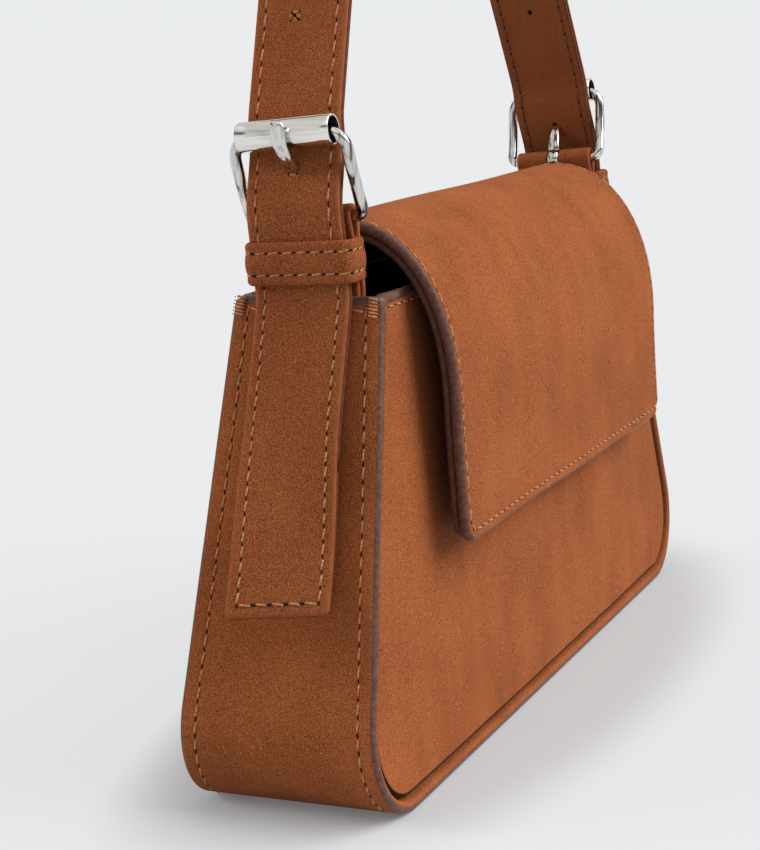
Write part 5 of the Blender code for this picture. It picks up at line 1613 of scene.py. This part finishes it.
def chaikin(points, rounds=3):
    """Cuts each corner at a quarter and three quarters of its legs, several times."""
    for _ in range(rounds):
        near = points[:-1] * 0.75 + points[1:] * 0.25
        far = points[:-1] * 0.25 + points[1:] * 0.75
        middle = np.stack([near, far], axis=1).reshape(-1, points.shape[1])
        points = np.concatenate([points[:1], middle, points[-1:]])
    return points


def tab_line():
    """Middle of the tab's leather in (u, z), from inside the bag round the bar and back."""
    loop = WIRE_RADIUS + GAP + TAB_THICKNESS / 2
    half_gap = (TAB_GAP + TAB_THICKNESS) / 2
    closed = (GAP + TAB_THICKNESS) / 2
    foot, bend = BODY_HEIGHT - TAB_DEPTH_IN_BAG, BODY_HEIGHT - TAB_THICKNESS
    slope = (BODY_FOOT_HALF - BODY_TOP_HALF) / BODY_HEIGHT
    low = TAB_FRONT_U - TAB_THICKNESS - GAP / 2
    layers = []
    for sign in (-1, 1):
        at = low + sign * closed
        layers.append([
            (at + slope * (bend - foot), foot),
            (at + slope * (bend - foot) / 2, (bend + foot) / 2),
            (BAR_U + sign * half_gap, bend),
            (BAR_U + sign * half_gap, BAR_HEIGHT - TAB_SLOT_DROP),
            (BAR_U + sign * (half_gap + loop) / 2, BAR_HEIGHT - TAB_NECK_DROP),
        ])
    angle = np.linspace(math.pi, 0.0, 15)
    arc = np.column_stack([BAR_U + loop * np.cos(angle), BAR_HEIGHT + loop * np.sin(angle)])
    line = chaikin(np.array(layers[0] + arc.tolist() + layers[1][::-1]))
    run = run_lengths(line)
    return take(run, line, np.linspace(0, run[-1], 170))


for label, side in ENDS:
    line = tab_line()
    run = run_lengths(line)
    way = unit(np.gradient(line, run, axis=0))
    outer = line + np.column_stack([-way[:, 1], way[:, 0]]) * TAB_THICKNESS / 2
    w = crowded(-1.0, 1.0, *TAB_COLUMNS) * (TAB_WIDTH / 2 - TAB_DOME)
    w = w[::-1] if side < 0 else w
    columns = np.broadcast_arrays(side * outer[:, 0, None], -w[None], outer[:, 1, None])
    tab = leather_sheet(
        f"{label}_tab_leather", eased_lean(np.stack(columns, axis=-1)), TAB_THICKNESS, TAB_DOME,
        [strap_nubuck], painted=("left", "right", "first", "last"),
    )
    slot = rounded_loop(TAB_SLOT_REACH, TAB_SLOT_WIDTH / 2, TAB_SLOT_CORNER, 6)
    rings = [
        leaned(np.column_stack([slot[:, 0] + side * BAR_U, slot[:, 1], np.full(len(slot), z)]))[None]
        for z in (TAB_SLOT_TOP, BAR_HEIGHT - TAB_SLOT_DROP)
    ]
    subtract(tab, prisms(*rings))
    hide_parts(f"{label}_anchor_tab")
    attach(tab, "bag")

# %% [markdown]
# ## Keepers
# The keeper is a padded band round the strap and the tab's front layer, sewn with two rows. It
# leans less than the strap, and stands nearly square to the tab.

# %% Keepers
KEEPER_EDGE, KEEPER_PUFF, KEEPER_LEAN, KEEPER_SEAM = 0.0011, 0.00030, 0.45, 0.0026
KEEPER_CORNER, KEEPER_INNER_CORNER = 0.0030, 0.0009
front_in, rear_in = STRAP_FRONT_U + GAP, BAR_U + KEEPER_REAR_WALL / 2
front_out, rear_out = front_in + KEEPER_FRONT_WALL, BAR_U - KEEPER_REAR_WALL / 2
keeper_half = TAB_WIDTH / 2 + GAP + KEEPER_SIDE_WALL


def keeper_face(around, z, side):
    """Outer face before it leans: a rounded rectangle at share around, puffed between its seams."""
    outer = rounded_loop((front_out - rear_out) / 2, keeper_half, KEEPER_CORNER, 30)
    closed = np.vstack([outer, outer[:1]])
    run = run_lengths(closed)
    point = take(run, closed, np.asarray(around) * run[-1])
    way = unit(take(run, np.gradient(closed, run, axis=0), np.asarray(around) * run[-1]))
    v = (z - KEEPER_FOOT) / KEEPER_HEIGHT
    seam = KEEPER_SEAM / KEEPER_HEIGHT
    puff = KEEPER_PUFF * np.sin(math.pi * np.clip((v - seam) / (1 - 2 * seam), 0, 1))
    puff = puff - groove((np.minimum(v, 1 - v) - seam) * KEEPER_HEIGHT)
    x = (front_out + rear_out) / 2 + point[..., 0] + way[..., 1] * puff
    y = point[..., 1] - way[..., 0] * puff
    return np.stack([side * x, y + 0 * z, z + 0 * x], axis=-1)


def keeper_surface(around, z, side):
    """Outer face, leaned back with the strap."""
    return leaned(keeper_face(around, z, side), KEEPER_LEAN)


def make_keeper(label, side):
    """The band: for each place around, a section of outer face, half round edges and inside."""
    around = np.linspace(0, 1, 241)[:-1]
    outer_z = np.linspace(KEEPER_FOOT + KEEPER_EDGE, KEEPER_FOOT + KEEPER_HEIGHT - KEEPER_EDGE, 22)
    grid_a, grid_z = np.meshgrid(around, outer_z, indexing="ij")
    outer = keeper_face(grid_a, grid_z, side)
    inside = rounded_loop((front_in - rear_in) / 2, TAB_WIDTH / 2 + GAP, KEEPER_INNER_CORNER, 30)
    inner = round_loop(inside, around)
    inner = np.column_stack([side * (inner[:, 0] + (front_in + rear_in) / 2), inner[:, 1]])
    turn = np.linspace(0, math.pi, 8)[1:-1]
    share = ((1 - np.cos(turn)) / 2)[None, :, None]

    def edge(border, z, sign):
        """Half round from the outer face over to the inside."""
        far = np.column_stack([inner, np.full(len(inner), z)])
        ring = border[:, None] * (1 - share) + far[:, None] * share
        ring[..., 2] = z + sign * KEEPER_EDGE * np.sin(turn)[None]
        return ring, far

    top, top_far = edge(outer[:, -1], outer_z[-1], 1)
    low, low_far = edge(outer[:, 0], outer_z[0], -1)
    section = np.concatenate(
        [outer, top, top_far[:, None], (top_far[:, None] + low_far[:, None]) / 2,
         low_far[:, None], low[:, ::-1]],
        axis=1,
    )
    size = section.shape[1]
    quads = grid_quads(len(around) + 1, size, wrap=True) % (len(around) * size)
    points = leaned(section.reshape(-1, 3), KEEPER_LEAN)
    return make_piece(f"{label}_keeper_leather", points, quads, [strap_nubuck])


for label, side in ENDS:
    keeper = make_keeper(label, side)
    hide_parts(f"{label}_keeper")
    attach(keeper, f"{label}_keeper_body")

# %% [markdown]
# ## Stitches
# The bag is sewn with a lockstitch 3.7 to 4.7 mm long. Each stitch is a short thread that dives
# into a needle hole at both ends, lies a little askew and bows up between. A bump in the leather
# would be quicker, but the threads stand proud and catch the light, so they are modelled. All
# the stitches of a row are made at once: one array of stitch by point by side.

# %% Sewing
STITCH_PITCH, STRAP_PITCH, TAIL_PITCH, KEEPER_PITCH = 0.0043, 0.0047, 0.0037, 0.0038
THREAD_RADIUS, NEEDLE_RADIUS = 0.00027, 0.00060
STITCH_POINTS, STITCH_SIDES, HOLE_SIDES = 7, 6, 7
STITCH_SLANT, STITCH_REACH, STITCH_SEEN = 0.00022, 0.84, (0.12, 0.88)
BOW_POWER, BOW_RISE, BOW_SINK = 0.6, 1.25, 0.75
TAPER_STEEP, TAPER_LEAST, TIP_REACH = 2.2, 0.45, 0.5
NEEDLE_LONG, NEEDLE_SHORT, NEEDLE_RISE, NEEDLE_SINK = 1.45, 0.80, 0.00009, 0.0002


def surface_normal(surface, a, b, facing):
    """Outward direction of a surface by finite differences."""
    step = 0.0003
    over_b = surface(a, b + step) - surface(a, b - step)
    over_a = surface(a + step, b) - surface(a - step, b)
    return facing * unit(np.cross(over_b, over_a))


def row_threads(surface, params, facing, scale):
    """Threads through (stitch, point) parameters: oval rods that bow up by sin and lie askew."""
    t = np.linspace(*STITCH_SEEN, STITCH_POINTS)
    centre = surface(params[..., 0], params[..., 1])
    outward = surface_normal(surface, params[..., 0], params[..., 1], facing)
    along = unit(np.gradient(centre, axis=1))
    side = unit(np.cross(along, outward))
    radius = THREAD_RADIUS * scale
    bow = (np.sin(math.pi * t) ** BOW_POWER * BOW_RISE - BOW_SINK) * radius
    askew = (t - 0.5) * 2 * STITCH_SLANT * scale
    centre = centre + outward * bow[None, :, None] + side * askew[None, :, None]
    turn = turns(STITCH_SIDES)
    taper = np.clip(np.sin(math.pi * t) * TAPER_STEEP, TAPER_LEAST, 1.0)[None, :, None, None] * radius
    ring = centre[:, :, None] + taper * (
        np.cos(turn)[None, None, :, None] * side[:, :, None]
        + np.sin(turn)[None, None, :, None] * outward[:, :, None]
    )
    ahead = along[:, [0, -1]] * np.array([-1, 1])[None, :, None]
    tips = centre[:, [0, -1]] + ahead * radius * TIP_REACH
    return np.concatenate([ring.reshape(len(params), -1, 3), tips], axis=1)


def row_holes(surface, params, facing, scale):
    """Needle holes at parameters: flat dark ovals, longer along the row than across it."""
    middle = surface(params[:, 0], params[:, 1])
    up = surface_normal(surface, params[:, 0], params[:, 1], facing)
    ahead = unit(np.gradient(middle, axis=0))
    across = unit(np.cross(ahead, up))
    turn = turns(HOLE_SIDES)
    rim = middle[:, None] + NEEDLE_RADIUS * scale * (
        NEEDLE_LONG * np.cos(turn)[None, :, None] * ahead[:, None]
        + NEEDLE_SHORT * np.sin(turn)[None, :, None] * across[:, None]
    )
    poles = np.stack([middle + up * NEEDLE_RISE, middle - up * NEEDLE_SINK], axis=1)
    return np.concatenate([rim, poles], axis=1)


print("a thread has", STITCH_POINTS, "rings of", STITCH_SIDES)

# %% [markdown]
# A row measures its route on the surface, divides it into equal stitches and asks for their
# threads and holes. Rows are then joined into one piece.

# %% Rows
def sew_row(surface, route, facing=1.0, pitch=STITCH_PITCH, scale=1.0, hole=1.0):
    """Threads and needle holes along a route of (a, b) parameters on a surface."""
    route = np.asarray(route, float)
    run = run_lengths(surface(route[:, 0], route[:, 1]))
    count = max(int(round(run[-1] / pitch)), 1)
    step = run[-1] / count
    reach = 0.5 + (np.linspace(*STITCH_SEEN, STITCH_POINTS) - 0.5) * STITCH_REACH
    stations = (np.arange(count)[:, None] + reach[None]) * step
    threads = row_threads(surface, take(run, route, stations), facing, scale)
    holes = row_holes(surface, take(run, route, np.arange(count + 1) * step), facing, hole)
    size, hole_size = threads.shape[1], holes.shape[1]
    quads = repeated(grid_quads(STITCH_POINTS, STITCH_SIDES, wrap=True), count, size)
    caps = repeated(capped((STITCH_POINTS, STITCH_SIDES)), count, size)
    discs = repeated(bulged_disc(HOLE_SIDES), count + 1, hole_size, count * size)
    points = np.concatenate([threads.reshape(-1, 3), holes.reshape(-1, 3)])
    kinds = [0] * len(caps) + [1] * len(discs)
    return points, quads, np.concatenate([caps, discs]), kinds


def sew(name, rows, yarn=thread):
    """Joins sewn rows into one piece: thread first, needle holes second."""
    points, quads, triangles, kinds, base = [], [], [], [], 0
    for row_points, row_quads, row_triangles, row_kinds in rows:
        points.append(row_points)
        quads.append(row_quads + base)
        triangles.append(row_triangles + base)
        kinds += row_kinds
        base += len(row_points)
    quads = np.concatenate(quads)
    return make_piece(
        name,
        np.concatenate(points),
        quads,
        [yarn, needle_hole],
        np.concatenate(triangles),
        [0] * len(quads) + kinds,
    )


# %% [markdown]
# ### Rows on the body
# Two rows follow the gusset's rims all round the U, one lies under each top edge, and a bar of
# thread over the edge locks each top corner.

# %% Body rows
SEAM_END, PANEL_SEAM_INSET = 0.0012, 0.0030
TACK_LENGTH, TACK_PITCH, TACK_COUNT, TACK_LIFT = 0.0032, 0.00085, 6, 0.00060
TACK_START, TACK_INSET, TACK_THICK, TACK_HOLE = 0.0001, 0.0006, 1.15, 0.3


def straight_route(start, end, count=60):
    """Parameters evenly from start to end."""
    return np.linspace(start, end, count)


def lifted_gusset(s, y):
    """The gusset's face moved out by the thread's lift, for bars that lie over the bead."""
    return gusset_surface(s, y) + surface_normal(gusset_surface, s, y, 1.0) * TACK_LIFT


seam_s = np.linspace(SEAM_END, U_LENGTH - SEAM_END, 900)
seam_half = half_depth(take(U_RUN, U_POINTS, seam_s)[:, 1]) - SEAM_INSET
top_half = float(half_depth(BODY_HEIGHT - TOP_SEAM_DROP)) - SEAM_INSET
top_reach = BODY_TOP_HALF - GUSSET_THICKNESS - PANEL_SEAM_INSET
panel_row = [(sign * top_reach, BODY_HEIGHT - PANEL_SEAM_DROP) for sign in (-1, 1)]
body_rows = [
    sew_row(gusset_surface, np.column_stack([seam_s, sign * seam_half])) for sign in (-1, 1)
]
body_rows += [
    sew_row(gusset_surface, straight_route((at, -top_half), (at, top_half)))
    for at in (TOP_SEAM_DROP, U_LENGTH - TOP_SEAM_DROP)
]
body_rows += [
    sew_row(
        lambda x, z, facing=facing: panel_face(x, z, facing), straight_route(*panel_row), float(facing)
    )
    for facing in (-1, 1)
]
for from_end in (False, True):
    for sign in (-1, 1):
        for drop in TACK_START + np.arange(TACK_COUNT) * TACK_PITCH:
            at = U_LENGTH - drop if from_end else drop
            outer = float(half_depth(BODY_HEIGHT - drop)) - TACK_INSET
            bar = straight_route((at, sign * outer), (at, sign * (outer - TACK_LENGTH)), 12)
            body_rows.append(sew_row(lifted_gusset, bar, 1.0, TACK_LENGTH, TACK_THICK, TACK_HOLE))
body_stitches = sew("body_stitches", body_rows)
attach(body_stitches, "bag")

# %% [markdown]
# ### Rows on flap, strap and keepers
# The flap's row runs 2 to 3 mm inside its outline, and another follows the lap on the back. The
# strap has a row on each side that turns across at the tips, with the darker bobbin thread on
# its inner face. Each keeper has two rows round it.

# %% Flap, strap and keeper rows
FLAP_ROW_CORNER, FOLD_CLEARANCE, TIP_SEAM = 0.0040, 0.002, STRAP_SEAM + 0.0003
BOBBIN_THIN, BOBBIN_HOLE = 0.9, 0.8


def flap_route():
    """Down one end, round the corner, along the bottom edge and up the other end."""
    half, end, radius = FLAP_HALF_LENGTH - FLAP_SIDE_SEAM, F_LENGTH - FLAP_SEAM, FLAP_ROW_CORNER
    turn = np.linspace(0, math.pi / 2, 12)
    start = F_HINGE + FOLD_CLEARANCE
    rise = np.column_stack([np.linspace(start, end - radius, 200), np.full(200, -half)])
    corner = np.column_stack([
        end - radius + radius * np.sin(turn), -(half - radius + radius * np.cos(turn))
    ])
    first = np.concatenate([rise, corner[1:]])
    foot = np.column_stack([np.full(200, end), np.linspace(-(half - radius), half - radius, 200)])
    return np.concatenate([first, foot[1:-1], first[::-1] * np.array([1.0, -1.0])])


half, tall = FLAP_HALF_LENGTH - FLAP_SIDE_SEAM, F_HINGE - FOLD_CLEARANCE
lap_route = np.concatenate([
    np.linspace((tall, -half), (LAP_SEAM, -half), 40),
    np.linspace((LAP_SEAM, -half), (LAP_SEAM, half), 400)[1:-1],
    np.linspace((LAP_SEAM, half), (tall, half), 40),
])
flap_stitches = sew(
    "flap_stitches", [sew_row(flap_surface, route, -1.0) for route in (flap_route(), lap_route)]
)
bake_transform(flap_stitches)

strap_half = STRAP_WIDTH / 2 - STRAP_SEAM
tail_end = strap_station(KEEPER_FOOT, 1)
strap_rows = [
    sew_row(
        strap_surface, straight_route((start, sign * strap_half), (end, sign * strap_half), count),
        pitch=pitch,
    )
    for sign in (-1, 1)
    for start, end, count, pitch in (
        (TIP_SEAM, tail_end, 300, TAIL_PITCH), (tail_end, S_LENGTH - tail_end, 2000, STRAP_PITCH),
        (S_LENGTH - tail_end, S_LENGTH - TIP_SEAM, 300, TAIL_PITCH),
    )
]
strap_rows += [
    sew_row(strap_surface, straight_route((at, -strap_half), (at, strap_half)), pitch=TAIL_PITCH)
    for at in (TIP_SEAM, S_LENGTH - TIP_SEAM)
]
strap_stitches = sew("strap_stitches", strap_rows)
inner_end = strap_station(KEEPER_FOOT + KEEPER_HEIGHT, 1)
inner_rows = [
    sew_row(
        lambda s, w: strap_surface(s, w, STRAP_THICKNESS),
        straight_route((inner_end, sign * strap_half), (S_LENGTH - inner_end, sign * strap_half), 2000),
        -1.0, STRAP_PITCH, BOBBIN_THIN, BOBBIN_HOLE,
    )
    for sign in (-1, 1)
]
inner_stitches = sew("strap_inner_stitches", inner_rows, bobbin_thread)
for piece in (strap_stitches, inner_stitches):
    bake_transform(piece)

for label, side in ENDS:
    rows = [
        sew_row(
            lambda around, z, side=side: keeper_surface(np.mod(around, 1.0), z, side),
            straight_route((0.0, z), (1.0, z), 400),
            float(side),
            KEEPER_PITCH,
        )
        for z in (KEEPER_FOOT + KEEPER_SEAM, KEEPER_FOOT + KEEPER_HEIGHT - KEEPER_SEAM)
    ]
    keeper_stitches = sew(f"{label}_keeper_stitches", rows)
    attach(keeper_stitches, f"{label}_keeper_body")
